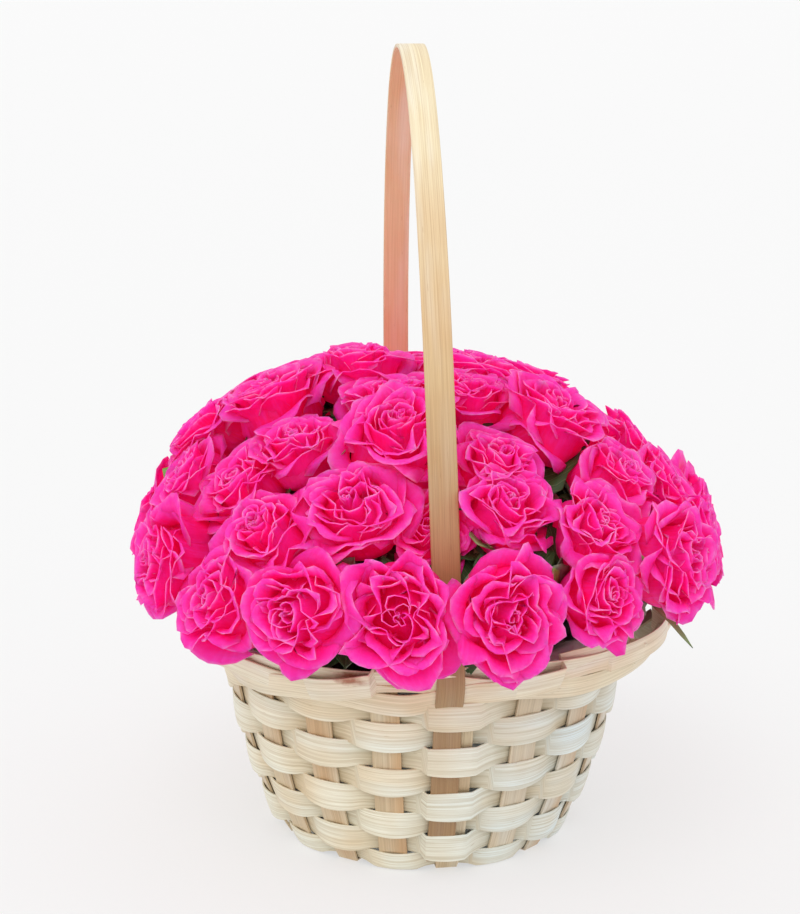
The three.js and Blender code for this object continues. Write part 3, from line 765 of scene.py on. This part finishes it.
milky = new_material("milky_film")
tree = milky.node_tree
shader = plain(milky, Specular_IOR_Level=0.6)
cloud = noise(tree, place_in(tree), 70, 3)
colour = colour_steps(tree, cloud, (0.35, (0.66, 0.75, 0.82)), (0.65, (0.90, 0.93, 0.95)))
link(tree, colour, shader.inputs["Base Color"])
link(tree, plus(tree, times(tree, cloud, 0.3), 0.12), shader.inputs["Roughness"])
dent(tree, shader, noise(tree, place_in(tree), 240, 2), 0.5, 1.2 * MM)
dress(film, "liner", "liner_film", milky)

# %% [markdown]
# ## The foam
# Wet floral foam is a dark green block full of fine pores. Its CAD solid has the right shape, so only the
# finish is new: small round cells, which darken and dent it, and damp patches.

# %% foam
foam_green = new_material("wet_foam")
tree = foam_green.node_tree
shader = plain(foam_green, Roughness=0.92)
pores = tree.nodes.new("ShaderNodeTexVoronoi")
pores.inputs["Scale"].default_value = 900
link(tree, place_in(tree), pores.inputs["Vector"])
holes = steps(tree, pores.outputs["Distance"], (0.10, 0.0), (0.45, 1.0))
colour = mix_colour(tree, noise(tree, place_in(tree), 45, 3), (0.020, 0.050, 0.020), (0.060, 0.115, 0.045))
link(tree, mix_colour(tree, holes, (0.008, 0.020, 0.008), colour), shader.inputs["Base Color"])
dent(tree, shader, holes, 0.7, 0.8 * MM)
refinish("foam", foam_green)

# %% [markdown]
# ## Petals
# A spray rose here has 30 petals, set one after another at 137.5 degrees round the heart. The inner ones stay
# furled, the outer ones open, and their lips roll back. A petal's face is hot pink, with painted shade that
# deepens it to crimson towards the heart and the petal's foot. Its rim is pale pink with a painted sheen and
# a painted highlight along the lips, its back is a paler mauve pink, and both sides give off a faint red
# emission, a painted glow in place of the light that shines through petals.

# %% petal materials
def petal_finish(name, body, deep, rim, foot, painted_lip_highlight, glow):
    material = new_material(name)
    tree = material.node_tree
    # the faint red emission is a painted glow, in place of light shining through the petals
    shader = plain(material, Roughness=0.55, Specular_IOR_Level=0.18,
                   Subsurface_Weight=0.5, Subsurface_Scale=1.0,
                   Emission_Color=(1.0, 0.0, 0.10), Emission_Strength=glow)
    shader.inputs["Subsurface Radius"].default_value = (0.005, 0.0008, 0.0018)
    across, v, _ = parts_of(tree, uv_in(tree))
    u = math_node(tree, "ABSOLUTE", plus(tree, times(tree, across, 2.0), -1.0))
    edge = math_node(tree, "MAXIMUM", math_node(tree, "POWER", u, 5.0), math_node(tree, "POWER", v, 6.0))
    line = math_node(tree, "MAXIMUM", math_node(tree, "POWER", u, 22.0), math_node(tree, "POWER", v, 24.0))
    mottle = noise(tree, place_in(tree), 150, 3)
    own = tree.nodes.new("ShaderNodeAttribute")
    own.attribute_name = "petal_shade"
    own = own.outputs["Fac"]
    along_petal = vector_of(tree, times(tree, across, 26.0), times(tree, v, 2.4), times(tree, own, 40.0))
    streak = noise(tree, along_petal, 1.0, 3)
    low = math_node(tree, "POWER", math_node(tree, "SUBTRACT", 1.0, v), 2.5)
    # painted shade: the petal starts deep crimson at its foot, in the folds of the heart, and turns to the
    # body colour
    colour = deep
    for share, next_colour in (
            (v, body),
            # on the face the foot colour is more painted shade; on the back it is the petal's own paler base
            (times(tree, low, 0.7), foot),
            # pale margins: partly the petal's own pale rim, partly a painted sheen where the lips catch the
            # light
            (times(tree, edge, 0.55), rim),
            (steps(tree, own, (0.45, 0.0), (1.0, 0.50)), rim),
            (steps(tree, own, (0.0, 0.45), (0.35, 0.0)), deep),
            (steps(tree, streak, (0.48, 0.0), (0.72, 0.45)), rim),
            (steps(tree, mottle, (0.40, 0.0), (0.75, 0.35)), rim),
            # painted highlight: a thin pale line along the lips and edges, broken into patches
            (times(tree, line, steps(tree, mottle, (0.42, 0.05), (0.64, 0.55))), painted_lip_highlight)):
        colour = mix_colour(tree, share, colour, next_colour)
    link(tree, colour, shader.inputs["Base Color"])
    veins = plus(tree, streak, times(tree, noise(tree, place_in(tree), 420, 2), 0.6))
    dent(tree, shader, veins, 0.45, 0.8 * MM)
    return material


# arguments: body, deep and foot (painted shade on the face), rim, painted lip highlight, painted red emission
petal_face = petal_finish("petal_face", (1.0, 0.002, 0.24), (1.0, 0.0, 0.10), (1.0, 0.035, 0.47),
                          (1.0, 0.01, 0.10), (1.0, 0.42, 0.72), 0.08)
petal_back = petal_finish("petal_back", (1.0, 0.004, 0.29), (1.0, 0.01, 0.23), (1.0, 0.05, 0.49),
                          (1.0, 0.30, 0.50), (1.0, 0.42, 0.72), 0.06)

# %% petal blank
PETALS = 30
ACROSS = 11  # points across a petal, and up it
UP = 9

stack, petal_u, petal_v = flat_sheet("petal_stack", ACROSS, UP)
apply(stack, "ARRAY", count=PETALS, use_relative_offset=False)  # all still lie on each other
petal_u = np.sign(petal_u) * np.abs(petal_u) ** 0.9
petal_v = 1 - (1 - petal_v) ** 1.3
print("petal faces", len(stack.data.polygons) // PETALS)


# %% petal rule
def mixed(a, b, share):
    return a + (b - a) * share


def petal(u, v, age, chance, bloom, tongue=False):
    """One petal of a rose of radius 1 that faces +Z. age is 0 at the heart and 1 outermost. A tongue is a
    petal that hangs to a point."""
    luck = chance.uniform(-1, 1, 12)
    # two numbers for each column of points crinkle the lip
    jag, curl = (np.tile(chance.normal(0, 1, ACROSS), UP) for _ in range(2))
    guard = float(ramp(age, 0.74, 1.0))
    drop = 0.62 if tongue else guard * float(np.clip(0.15 + 1.1 * luck[8] + bloom["droop"], 0, 1))
    middle = math.sin(math.pi * age)
    side = np.abs(u)
    # how far the petal leans out at each height, from its foot over its wall to its rolled lip
    foot = mixed(0.5, 1.30, age)
    wall = mixed(-0.24, 0.04, age ** 1.5) + 0.60 * drop + 0.08 * luck[0] * age
    lip = mixed(-0.05, 1.05, float(ramp(age, 0.10, 0.80))) + 0.55 * guard + 1.0 * drop + 0.35 * luck[1] * age
    lean = foot + (wall - foot) * ramp(v, 0.0, 0.45)
    lean = lean + (lip - wall) * ramp(v, 0.76 + 0.05 * luck[2] - 0.10 * drop, 1.05)
    lean = lean + (0.08 + 0.45 * guard + 0.75 * drop) * age * side ** 3 * ramp(v, 0.45, 1.0)
    # ruffles along the lip
    wave = 0.50 + 0.22 * luck[3]
    ruffle = 0.12 + 0.32 * age
    lean = lean + ruffle * np.sin(2 * np.pi * (wave * u + luck[4])) * v ** 3
    lean = lean + 0.55 * ruffle * np.sin(2 * np.pi * (2.0 * wave * u + luck[5])) * v ** 5
    lean = lean + (0.03 + 0.09 * age) * curl * v ** 6
    long = 1 - (0.24 + 0.05 * middle) * side ** 5 + 0.08 * drop * np.exp(-(u / 0.30) ** 2)
    long = long + 0.016 * jag * v ** 5
    if tongue:
        long = long + 0.34 * ramp(1 - side, 0.0, 1.0) - 0.10
    # walk up each column of points, leaning as told
    lean, long, share = (part.reshape(UP, ACROSS) for part in (lean, long, v))
    step = np.diff(share, axis=0) * long[1:]
    between = (lean[1:] + lean[:-1]) / 2
    out = np.vstack([np.zeros((1, ACROSS)), np.cumsum(np.sin(between) * step, 0)])
    high = np.vstack([np.zeros((1, ACROSS)), np.cumsum(np.cos(between) * step, 0)])
    # widen and stretch the walk until it meets the bloom's cup and its top
    cup_row = int(np.argmin(np.abs(share[:, 0] - 0.74)))
    centre = ACROSS // 2
    start_out, start_high = 0.03 + 0.07 * age, mixed(-0.42, -0.86, age ** 0.5)
    cup = (0.05 + 0.77 * age ** 0.85) * bloom["open"] + 0.025 * luck[7] * age
    top = 0.36 + 0.10 * middle - 0.20 * age - 0.34 * drop * bloom["open"] + 0.03 * luck[6]
    widen = max((cup - start_out) / max(out[cup_row, centre], 0.05), 0.02)
    stretch = (top - start_high) / max(high[:, centre].max(), 0.05)
    roll = (widen + stretch) / 2 if age > 0.35 else stretch
    radius = out * widen
    radius[cup_row + 1:] = radius[cup_row] + (out[cup_row + 1:] - out[cup_row]) * roll * 0.9
    radius = (radius + start_out).ravel()
    height = (high * stretch + start_high).ravel()
    # wrap the petal round the heart
    half = mixed(0.24, 0.92, age ** 0.7) * (1 + 0.08 * luck[9])
    shape = 0.16 + 0.84 * np.sin(np.pi * np.clip(v * 0.60 + 0.02, 0, 1)) ** 1.1
    shape = shape * (1 - 0.12 * ramp(v, 0.80, 1.05))
    wrap = np.minimum(half * shape / np.maximum(radius, 0.06), mixed(2.4, 1.10, float(ramp(age, 0, 0.5))))
    radius = radius + (0.03 + 0.05 * age) * u * ramp(v, 0.2, 0.9) * bloom["hand"]
    height = height + 0.03 * luck[10] * u * v
    return radius * np.cos(u * wrap), radius * np.sin(u * wrap), height


def rose_points(seed, bloom):
    chance = np.random.default_rng(seed)
    each = ACROSS * UP
    points = np.empty((PETALS * each, 3))
    turn = chance.uniform(0, 360)
    tip = chance.uniform(-0.16, 0.16, 2)
    for i in range(PETALS):
        age = ((i + 0.5) / PETALS) ** bloom["pack"]
        tongue = bloom["tongue"] and i == PETALS - 1
        x, y, z = petal(petal_u, petal_v, age, chance, bloom, tongue)
        turn = 270 if tongue else turn + 137.5 + chance.uniform(-12, 12)
        tilt = chance.uniform(-0.08, 0.08) * (0.3 + age)
        x, z = x * math.cos(tilt) + z * math.sin(tilt), z * math.cos(tilt) - x * math.sin(tilt)
        across, deep = turned(x, y, math.radians(turn))
        across = across + tip[0] * (1 - age) * (z + 0.4)
        deep = deep + tip[1] * (1 - age) * (z + 0.4)
        points[i * each:(i + 1) * each] = np.stack([across, deep, z], 1)
    angle = np.arctan2(points[:, 1], points[:, 0])
    press = np.ones(len(points))
    for waves, size in ((2, 0.05), (3, 0.04), (4, 0.03)):
        press += size * np.cos(waves * angle + chance.uniform(0, 6))
    points[:, :2] *= press[:, None]
    return points


# %% [markdown]
# ## Where the roses sit
# Each CAD bloom is one closed surface. Its foot and its heart are the only points where fifteen faces meet,
# so the two give the bloom's place and the way it faces. The rose is bent in that frame and is a little
# larger than its solid, because soft petals press against their neighbours.

# %% read the seats
def read_seat(name):
    shape = nodes[name].data.copy()
    grid = bmesh.new()
    grid.from_mesh(shape)
    bmesh.ops.remove_doubles(grid, verts=grid.verts, dist=1e-6)
    poles = [v.co.copy() for v in grid.verts if len(v.link_edges) == 15]
    far = np.array([v.co[:] for v in grid.verts])
    grid.free()
    bpy.data.meshes.remove(shape)
    middle = far.mean(0)
    foot, heart = sorted(poles, key=lambda p: -(p - Vector(middle)).length)[:2]
    facing = unit(np.array(heart - foot))
    reach = far - np.array(foot)
    beside = np.linalg.norm(reach - np.outer(reach @ facing, facing), axis=1).max()
    return {"name": name, "foot": np.array(foot), "facing": facing, "radius": beside,
            "centre": np.array(heart) - 0.2 * beside * facing}


# how far a bloom is set from its CAD place, in mm to the right, back and up, and how much larger
HAND_SET = {
    "rose_low_01": (0, 0, 4, 1.0), "rose_low_02": (4, 0, 2, 0.95), "rose_low_03": (5, 2, 12, 0.86),
    "rose_low_04": (3, 2, 9, 0.95), "rose_low_05": (0, 0, 5, 1.0), "rose_low_10": (0, 0, -2, 1.0),
    "rose_low_11": (1, 0, 5, 1.0), "rose_low_12": (-3, -1, -5, 1.18), "rose_low_13": (0, 2, 5, 0.95),
    "rose_low_14": (2, 0, 2, 0.95), "rose_low_15": (2, 0, 0, 0.95), "rose_middle_33": (-1, 0, 5, 1.0),
    "rose_middle_31": (-3, -2, 8, 1.0), "rose_middle_32": (-4, 0, 8, 1.0), "rose_high_43": (-4, -2, 7, 0.94),
    "rose_high_44": (-4, 0, 5, 0.94), "rose_top_50": (-6, -2, 5, 1.0), "rose_high_40": (0, 0, -4, 0.95),
    "rose_high_39": (0, 0, -3, 1.0), "rose_top_48": (-2, 0, -2, 1.0),
}


def hand_set(seat):
    right, back, up, larger = HAND_SET.get(seat["name"], (0, 0, 0, 1.0))
    move = np.array((right, back, up)) * MM
    return {**seat, "foot": seat["foot"] + move, "centre": seat["centre"] + move, "larger": larger}


rose_names = sorted(name for name in nodes if name.startswith("rose_"))
seats = [hand_set(read_seat(name)) for name in rose_names]
radii = [seat["radius"] for seat in seats]
print("roses", len(seats), "radius", round(min(radii), 4), round(max(radii), 4))

# %% roses
ROSE_SPREAD = 1.28  # a rose of petals reaches this much further than its solid
SMALLEST_ROSE = 25 * MM
LARGEST_ROSE = 31 * MM
HANGING_LIP = ("rose_low_01", "rose_low_10", "rose_low_11")  # their outermost petal hangs to a point
WIDE_OPEN = ("rose_low_01", "rose_low_11", "rose_low_12")
BESIDE_HANDLE = (7.4 * MM, 11 * MM)  # beside the handle's middle a petal is pushed fully, and then no more
OFF_HANDLE = 1.8 * MM  # how far before or behind the handle's middle a petal then stays


def frame_of(facing):
    """A turn that stands a bloom modelled along +Z in its facing."""
    side = unit(np.cross(SKYWARD, facing))
    return np.stack([side, np.cross(facing, side), facing], 0)


def clear_of_handle(points, parts=1, only_behind=False):
    """Moves what a petal or leaf has inside the handle wholly in front of it, or wholly behind it."""
    side = np.sign(points[:, 1].mean())
    leg_line = path[:HANDLE_POINTS // 2] if side < 0 else path[HANDLE_POINTS // 2:][::-1]
    handle_x = np.interp(points[:, 2], leg_line[:, 2], leg_line[:, 0])
    handle_y = np.interp(points[:, 2], leg_line[:, 2], leg_line[:, 1])
    away = side * (points[:, 1] - handle_y)
    near = 1 - ramp(np.abs(points[:, 0] - handle_x), *BESIDE_HANDLE)
    each = len(points) // parts
    for k in range(parts):
        part = slice(k * each, (k + 1) * each)
        if near[part].max() > 0:
            in_front = not only_behind and (away[part] * near[part]).sum() > 0
            want = 1 if in_front else -1
            points[part, 1] += side * want * near[part] * np.maximum(OFF_HANDLE - want * away[part], 0)
    return points


for i, seat in enumerate(seats):
    chance = np.random.default_rng(900 + i)
    bloom = {"open": chance.uniform(0.84, 1.0), "hand": chance.choice([-1, 1]),
             "pack": chance.uniform(0.8, 1.15), "droop": -0.35, "tongue": seat["name"] in HANGING_LIP}
    if "low" in seat["name"] and seat["centre"][0] < 60 * MM:
        bloom["droop"] = 0.85 if seat["name"] in WIDE_OPEN else 0.45
    size = min(max(seat["radius"] * ROSE_SPREAD, SMALLEST_ROSE), LARGEST_ROSE) * seat["larger"]
    place = (rose_points(100 + i, bloom) * size) @ frame_of(seat["facing"]) + seat["centre"]
    place += seat["facing"] * chance.uniform(-2, 2) * MM
    rose = copy_of(stack, "petals_" + seat["name"], clear_of_handle(place, PETALS), petal_face, petal_back)
    shade = rose.data.attributes.new("petal_shade", "FLOAT", "POINT")
    shade.data.foreach_set("value", np.repeat(chance.uniform(0, 1, PETALS), ACROSS * UP))
    two_faced(rose)
    dress(rose, seat["name"], "rose_petal")
bpy.data.objects.remove(stack)
print("faces in a rose", len(rose.data.polygons))

# %% [markdown]
# ## Green wood
# Under each rose is a round hip with five pointed sepals, on a thin stalk. The stalks join main stems, which
# stand in the foam, and the leaves fill the gaps between the roses. One calyx, one stalk and one leaf are
# modelled and copied. A stalk starts as a ball: its rings are spread along a curve, so its ends stay closed.

# %% green finishes
def leaf_finish(name, green, vein, dark, roughness):
    material = new_material(name)
    tree = material.node_tree
    shader = plain(material, Roughness=roughness, Specular_IOR_Level=0.35)
    across, along, _ = parts_of(tree, uv_in(tree))
    beside = math_node(tree, "ABSOLUTE", plus(tree, across, -0.5))
    rib = steps(tree, beside, (0.0, 1.0), (0.035, 0.0))
    slant = plus(tree, times(tree, along, 9.0), times(tree, beside, -7.0))
    branch = math_node(tree, "ABSOLUTE", plus(tree, math_node(tree, "FRACT", slant), -0.5))
    veins = math_node(tree, "MAXIMUM", rib, steps(tree, branch, (0.0, 0.8), (0.09, 0.0)))
    colour = mix_colour(tree, noise(tree, place_in(tree), 90, 3), green, dark)
    colour = mix_colour(tree, times(tree, veins, 0.6), colour, vein)
    link(tree, colour, shader.inputs["Base Color"])
    dent(tree, shader, math_node(tree, "SUBTRACT", 1.0, veins), 0.4, 0.6 * MM)
    return material


leaf_top = leaf_finish("leaf_top", (0.055, 0.12, 0.035), (0.16, 0.24, 0.10), (0.018, 0.045, 0.014), 0.42)
leaf_under = leaf_finish("leaf_under", (0.30, 0.36, 0.26), (0.42, 0.46, 0.34), (0.20, 0.26, 0.18), 0.6)
leaf_bright = leaf_finish("leaf_bright", (0.24, 0.42, 0.09), (0.48, 0.58, 0.26), (0.15, 0.31, 0.06), 0.45)
sepal_green = leaf_finish("sepal_green", (0.28, 0.36, 0.14), (0.45, 0.50, 0.30), (0.16, 0.24, 0.09), 0.5)
stem_green = leaf_finish("stem_green", (0.16, 0.24, 0.07), (0.20, 0.28, 0.10), (0.09, 0.15, 0.05), 0.5)

# %% stalk blank
STALK_RINGS = 12
deselect()
bpy.ops.mesh.primitive_uv_sphere_add(segments=8, ring_count=STALK_RINGS, radius=1)
stalk_blank = bpy.context.object
ball = points_of(stalk_blank)
stalk_angle = np.arctan2(ball[:, 1], ball[:, 0])
stalk_share = np.arcsin(np.clip(ball[:, 2], -1, 1)) / np.pi + 0.5
stalk_is_end = np.abs(ball[:, 2]) > 0.999
stalk_along = np.clip((stalk_share * STALK_RINGS - 1) / (STALK_RINGS - 2), 0, 1)
NO_STALKS_WAY = np.array([0.31, 0.87, 0.38])  # no stalk runs along this direction


def curve_through(start, bend, end, share):
    """A smooth bend from start to end, drawn towards a third point."""
    share = share[:, None]
    return (1 - share) ** 2 * start + 2 * share * (1 - share) * bend + share ** 2 * end


def stalk(name, start, bend, end, thick_start, thick_end, material):
    line = curve_through(start, bend, end, stalk_along)
    ahead = unit(curve_through(start, bend, end, np.clip(stalk_along + 0.02, 0, 1.02)) - line)
    side = unit(np.cross(ahead, NO_STALKS_WAY))
    other = np.cross(ahead, side)
    thick = (thick_start + (thick_end - thick_start) * stalk_along) * (1 - stalk_is_end)
    ring = side * np.cos(stalk_angle)[:, None] + other * np.sin(stalk_angle)[:, None]
    piece = copy_of(stalk_blank, name, line + ring * thick[:, None], material)
    smooth(piece)
    return piece


def joined(pieces, name):
    deselect()
    for piece in pieces:
        piece.select_set(True)
    bpy.context.view_layer.objects.active = pieces[0]
    bpy.ops.object.join()
    whole = bpy.context.object
    whole.name = name
    return whole


# %% stems
LOW_SPRAYS = 9
HIGH_SPRAYS = 5


def spray(bearing, radius, height, hub_height, low):
    """A main stem from the hub in the foam to its tip, where it forks. low tells which rings it carries."""
    tip = outward(bearing) * radius + SKYWARD * height
    return {"tip": tip, "hub": SKYWARD * hub_height, "bearing": bearing, "low": low, "roses": []}


sprays = [spray(7 + 360 / LOW_SPRAYS * i, 74 * MM, 141 * MM, 40 * MM, True) for i in range(LOW_SPRAYS)]
sprays += [spray(32 + 360 / HIGH_SPRAYS * i, 33 * MM, 165 * MM, 52 * MM, False) for i in range(HIGH_SPRAYS)]
for seat in seats:
    is_low = "low" in seat["name"] or "middle" in seat["name"]
    at = math.degrees(math.atan2(seat["foot"][0], -seat["foot"][1]))
    choices = [one for one in sprays if one["low"] == is_low]
    nearest = min(choices, key=lambda one: abs((one["bearing"] - at + 540) % 360 - 180))
    nearest["roses"].append(seat)
stems = []
for one in sprays:
    down = unit(one["hub"] - one["tip"])
    middle = (one["hub"] + one["tip"]) / 2
    stems.append(stalk("stem", one["hub"], middle, one["tip"], 2.4 * MM, 2.0 * MM, stem_green))
    for k, seat in enumerate(sorted(one["roses"], key=lambda seat: -seat["centre"][2])):
        start = one["tip"] + down * 4 * MM * k
        end = seat["foot"] - seat["facing"] * 3 * MM
        bend = end - seat["facing"] * 0.45 * np.linalg.norm(end - start)
        stems.append(stalk("stalk", start, bend, end, 1.3 * MM, 1.2 * MM, stem_green))

# %% calyx
SEPALS = 5
deselect()
bpy.ops.mesh.primitive_uv_sphere_add(segments=10, ring_count=8, radius=1)
hip = bpy.context.object
ball = points_of(hip)
swell = 3.9 * MM * (1 + 0.12 * ball[:, 2])
put_points(hip, ball * np.stack([swell, swell, np.full(len(ball), 4.4 * MM)], 1) - SKYWARD * 1.5 * MM)
sepals = [hip]
for k in range(SEPALS):
    strip, u, v = flat_sheet("sepal", 3, 8)
    chance = np.random.default_rng(70 + k)
    reach = (20 + 4 * chance.uniform(-1, 1)) * MM
    width = 2.6 * MM * (1 - v ** 2.2) * (0.75 + 0.6 * np.sin(np.pi * np.clip(v * 1.2, 0, 1))) + 0.15 * MM
    spread = 3.4 * MM + reach * (v - 0.22 * v ** 3)
    rise = -1.5 * MM + (3 + 5 * chance.uniform(0, 1)) * MM * v - 8 * MM * v ** 3 * chance.uniform(-0.3, 1)
    x, y = turned(spread, u * width, math.radians(360 / SEPALS * k + 8 * chance.uniform(-1, 1)))
    z = rise + 1.2 * MM * u ** 2 * (1 - v)
    put_points(strip, np.stack([x, y, z], 1))
    apply(strip, "SOLIDIFY", thickness=0.3 * MM, offset=0)
    sepals.append(strip)
calyx_blank = joined(sepals, "calyx_blank")
smooth(calyx_blank)
x, y, z = points_of(calyx_blank).T
calyxes = []
for i, seat in enumerate(seats):
    spun = np.stack([*turned(x, y, math.radians(37 * i)), z], 1)
    calyxes.append(copy_of(calyx_blank, "calyx", spun @ frame_of(seat["facing"]) + seat["foot"], sepal_green))

# %% leaf blank
LEAF_ROWS = 8
STALK_BACK = 7 * MM  # a leaf leaves the stalk this far under its rose
# a leaf 1 long, with a pointed tip and a saw edge
small_leaf, leaf_u, leaf_v = flat_sheet("small_leaf", 5, LEAF_ROWS)
row_number = np.round(leaf_v * (LEAF_ROWS - 1)).astype(int)
is_edge = (np.abs(leaf_u) > 0.99) * (leaf_v > 0.12) * (leaf_v < 0.95)
tooth = 1 + 0.10 * np.where(row_number % 2 == 0, 1, -1) * is_edge
leaf_x = leaf_u * (0.31 * np.sin(np.pi * np.clip(leaf_v, 0, 1) ** 0.80) ** 0.8 * tooth + 0.012)
leaves = []
dark_up = (leaf_top, leaf_under)
back_up = (leaf_under, leaf_top)
bright = (leaf_bright, leaf_bright)
pale = (sepal_green, leaf_under)


# %% leaves
def lay_leaf(root, way, up, size, droop, cup, seed, faces):
    """Bends a copy of the blank: it arches along its rib, folds a little at the rib and waves at the edge."""
    chance = np.random.default_rng(seed)
    x, y = leaf_x * size, leaf_v * size
    z = cup * size * np.abs(leaf_x) - droop * size * leaf_v ** 2
    z = z + 0.025 * size * np.sin(2 * np.pi * (1.5 * leaf_v + chance.uniform())) * leaf_u ** 2
    ahead = unit(way)
    side = unit(np.cross(ahead, up))
    over = np.cross(side, ahead)
    bend = 0.12 * size * chance.uniform(-1, 1) * leaf_v ** 2
    points = root + np.outer(y, ahead) + np.outer(x + bend, side) + np.outer(z, over)
    leaves.append(copy_of(small_leaf, "leaf", clear_of_handle(points, only_behind=True), *faces))
    two_faced(leaves[-1])


def narrow_leaf(root, ahead, share):
    """Draws the last leaf in towards its rib."""
    points = points_of(leaves[-1])
    spine = root + np.outer((points - root) @ ahead, ahead)
    put_points(leaves[-1], spine + (points - spine) * share)


def leaf_towards(seat, target, reach, seed, faces):
    """A leaf from the stalk under a rose to, or past, a target point."""
    root = seat["foot"] - seat["facing"] * STALK_BACK
    length = np.linalg.norm(target - root) * reach
    lay_leaf(root, target - root, seat["facing"], length, 0.12, 0.35, seed, faces)


# %% leaves under the roses
chance = np.random.default_rng(5)
for i, seat in enumerate(seats):
    basis = frame_of(seat["facing"])
    for k in range(3):
        angle = math.radians(120 * k + 35 * chance.uniform(-1, 1) + 20 * i)
        away = basis[0] * math.cos(angle) + basis[1] * math.sin(angle)
        away = away + seat["facing"] * chance.uniform(0.05, 0.5)
        target = seat["foot"] + away * chance.uniform(24, 32) * MM
        faces = dark_up if chance.uniform() < 0.65 else back_up
        leaf_towards(seat, target, 1.0, 1000 + 4 * i + k, faces)

# %% leaves in the gaps
NEIGHBOURS_WITHIN = 66 * MM
middles = np.array([seat["centre"] for seat in seats])
apart = np.linalg.norm(middles[:, None] - middles[None], axis=2)
gaps = []
for trio in itertools.combinations(range(len(seats)), 3):
    if apart[np.ix_(trio, trio)].max() < NEIGHBOURS_WITHIN:
        three = [seats[i] for i in trio]
        place = middles[list(trio)].mean(0)
        facing = sum(seat["facing"] for seat in three) / 3
        between = place - facing * (9 + 7 * chance.uniform()) * MM
        faces = dark_up if chance.uniform() < 0.6 else back_up
        leaf_towards(three[len(gaps) % 3], between, 1.55, 5000 + len(gaps), faces)
        gaps.append({"place": place, "facing": unit(facing), "seats": three})
print("leaves in gaps", len(gaps))

# %% leaves over the rim
FILM_SHOWS = (26, 76)  # bearings between which the photograph shows the film and not leaves
for i, one in enumerate(sprays[:LOW_SPRAYS]):
    for k in range(10):
        angle = one["bearing"] + 36 * (k / 9 - 0.5) + chance.uniform(-3, 3)
        if FILM_SHOWS[0] < angle < FILM_SHOWS[1]:
            continue
        way = outward(angle) + SKYWARD * chance.uniform(-0.45, 0.35)
        root = one["tip"] + (one["hub"] - one["tip"]) * chance.uniform(0.0, 0.2)
        up = SKYWARD + 0.4 * outward(angle)
        lay_leaf(root, way, up, chance.uniform(36, 50) * MM, 0.25, 0.3, 3000 + 9 * i + k, dark_up)

# %% [markdown]
# ## Leaves that the photograph shows
# A few bright leaves and pale sepals look out between the roses. Each one's spot in the photograph is a line
# from the camera. It grows out of the gap between three roses that lies nearest to that line, from the stalk
# of one of them, so it is carried whatever side it is seen from.

# %% leaves of the photograph
WIDE_PX = 800
HIGH_PX = 914
# x, y in the photograph, mm out of the gap, mm long, share of a full leaf's width, finish
PHOTO_LEAVES = (
    (166, 468, 14, 24, 0.9, bright), (397, 408, 10, 24, 0.4, pale), (408, 404, 11, 24, 0.3, bright),
    (330, 446, 10, 26, 0.4, pale), (546, 581, 10, 26, 0.4, bright), (490, 549, 9, 24, 0.4, pale),
    (186, 533, 10, 26, 0.45, pale), (256, 554, 8, 30, 1.0, pale), (470, 556, 6, 34, 1.1, pale),
    (654, 534, 9, 28, 0.8, pale), (582, 460, 8, 26, 0.6, pale), (655, 596, 12, 26, 0.35, bright),
    (648, 610, 4, 34, 1.0, pale),
)
HANGS_FROM = (640, 590)  # the leaf that hangs over the rim, in the photograph
HANGS_TO = (694, 647)
eye = np.array(camera.location)


def sight_line(x, y):
    """The direction from the camera through a spot of the photograph."""
    scale = camera_data.sensor_width / HIGH_PX / LENS
    ray = Vector(((x - WIDE_PX / 2) * scale, (HIGH_PX / 2 - y) * scale, -1))
    return np.array(camera.rotation_quaternion @ ray.normalized())


def nearest_to_line(choices, key, ray):
    """The choice whose point, kept under key, lies nearest to a line of sight."""
    return min(choices, key=lambda choice: np.linalg.norm(np.cross(choice[key] - eye, ray)))


def leaf_in_gap(x, y, out, length, thin, faces, seed):
    """A leaf that looks out of the gap nearest to x, y of the photograph, so far out and so long."""
    ray = sight_line(x, y)
    gap = nearest_to_line([gap for gap in gaps if gap["facing"] @ ray < 0.25], "place", ray)
    seat = nearest_to_line(gap["seats"], "foot", ray)
    tip = gap["place"] + gap["facing"] * out * MM
    start = seat["foot"] - seat["facing"] * STALK_BACK
    ahead = unit(tip - start)
    root = tip - ahead * length * MM
    lay_leaf(root, ahead, seat["facing"], length * MM, 0.03, 0.25, seed, faces)
    narrow_leaf(root, ahead, thin)
    middle, end = (start + root) / 2, root + ahead * 2 * MM
    stems.append(stalk("stalk", start, middle, end, 0.8 * MM, 0.6 * MM, stem_green))


for number, leaf in enumerate(PHOTO_LEAVES):
    leaf_in_gap(*leaf, 700 + number)
right_most = nearest_to_line(seats, "foot", sight_line(*HANGS_FROM))
hang = right_most["foot"] - right_most["facing"] * 9 * MM
way = eye + sight_line(*HANGS_TO) * (np.linalg.norm(hang - eye) - 6 * MM) - hang
lay_leaf(hang, way, SKYWARD, np.linalg.norm(way), 0.03, 0.2, 730, pale)
narrow_leaf(hang, unit(way), 0.24)
print("hanging leaf", round(float(np.linalg.norm(way)), 3))

# %% join the green wood
leaf_mass = joined(leaves, "leaves")
stem_mass = joined(stems, "stems")
calyx_mass = joined(calyxes, "calyxes")
for piece in (leaf_mass, stem_mass, calyx_mass):
    dress(piece, "stems_and_leaves", "stem_green")
for blank in (small_leaf, stalk_blank, calyx_blank):
    bpy.data.objects.remove(blank)
print("leaf faces", len(leaf_mass.data.polygons), "stem faces", len(stem_mass.data.polygons))
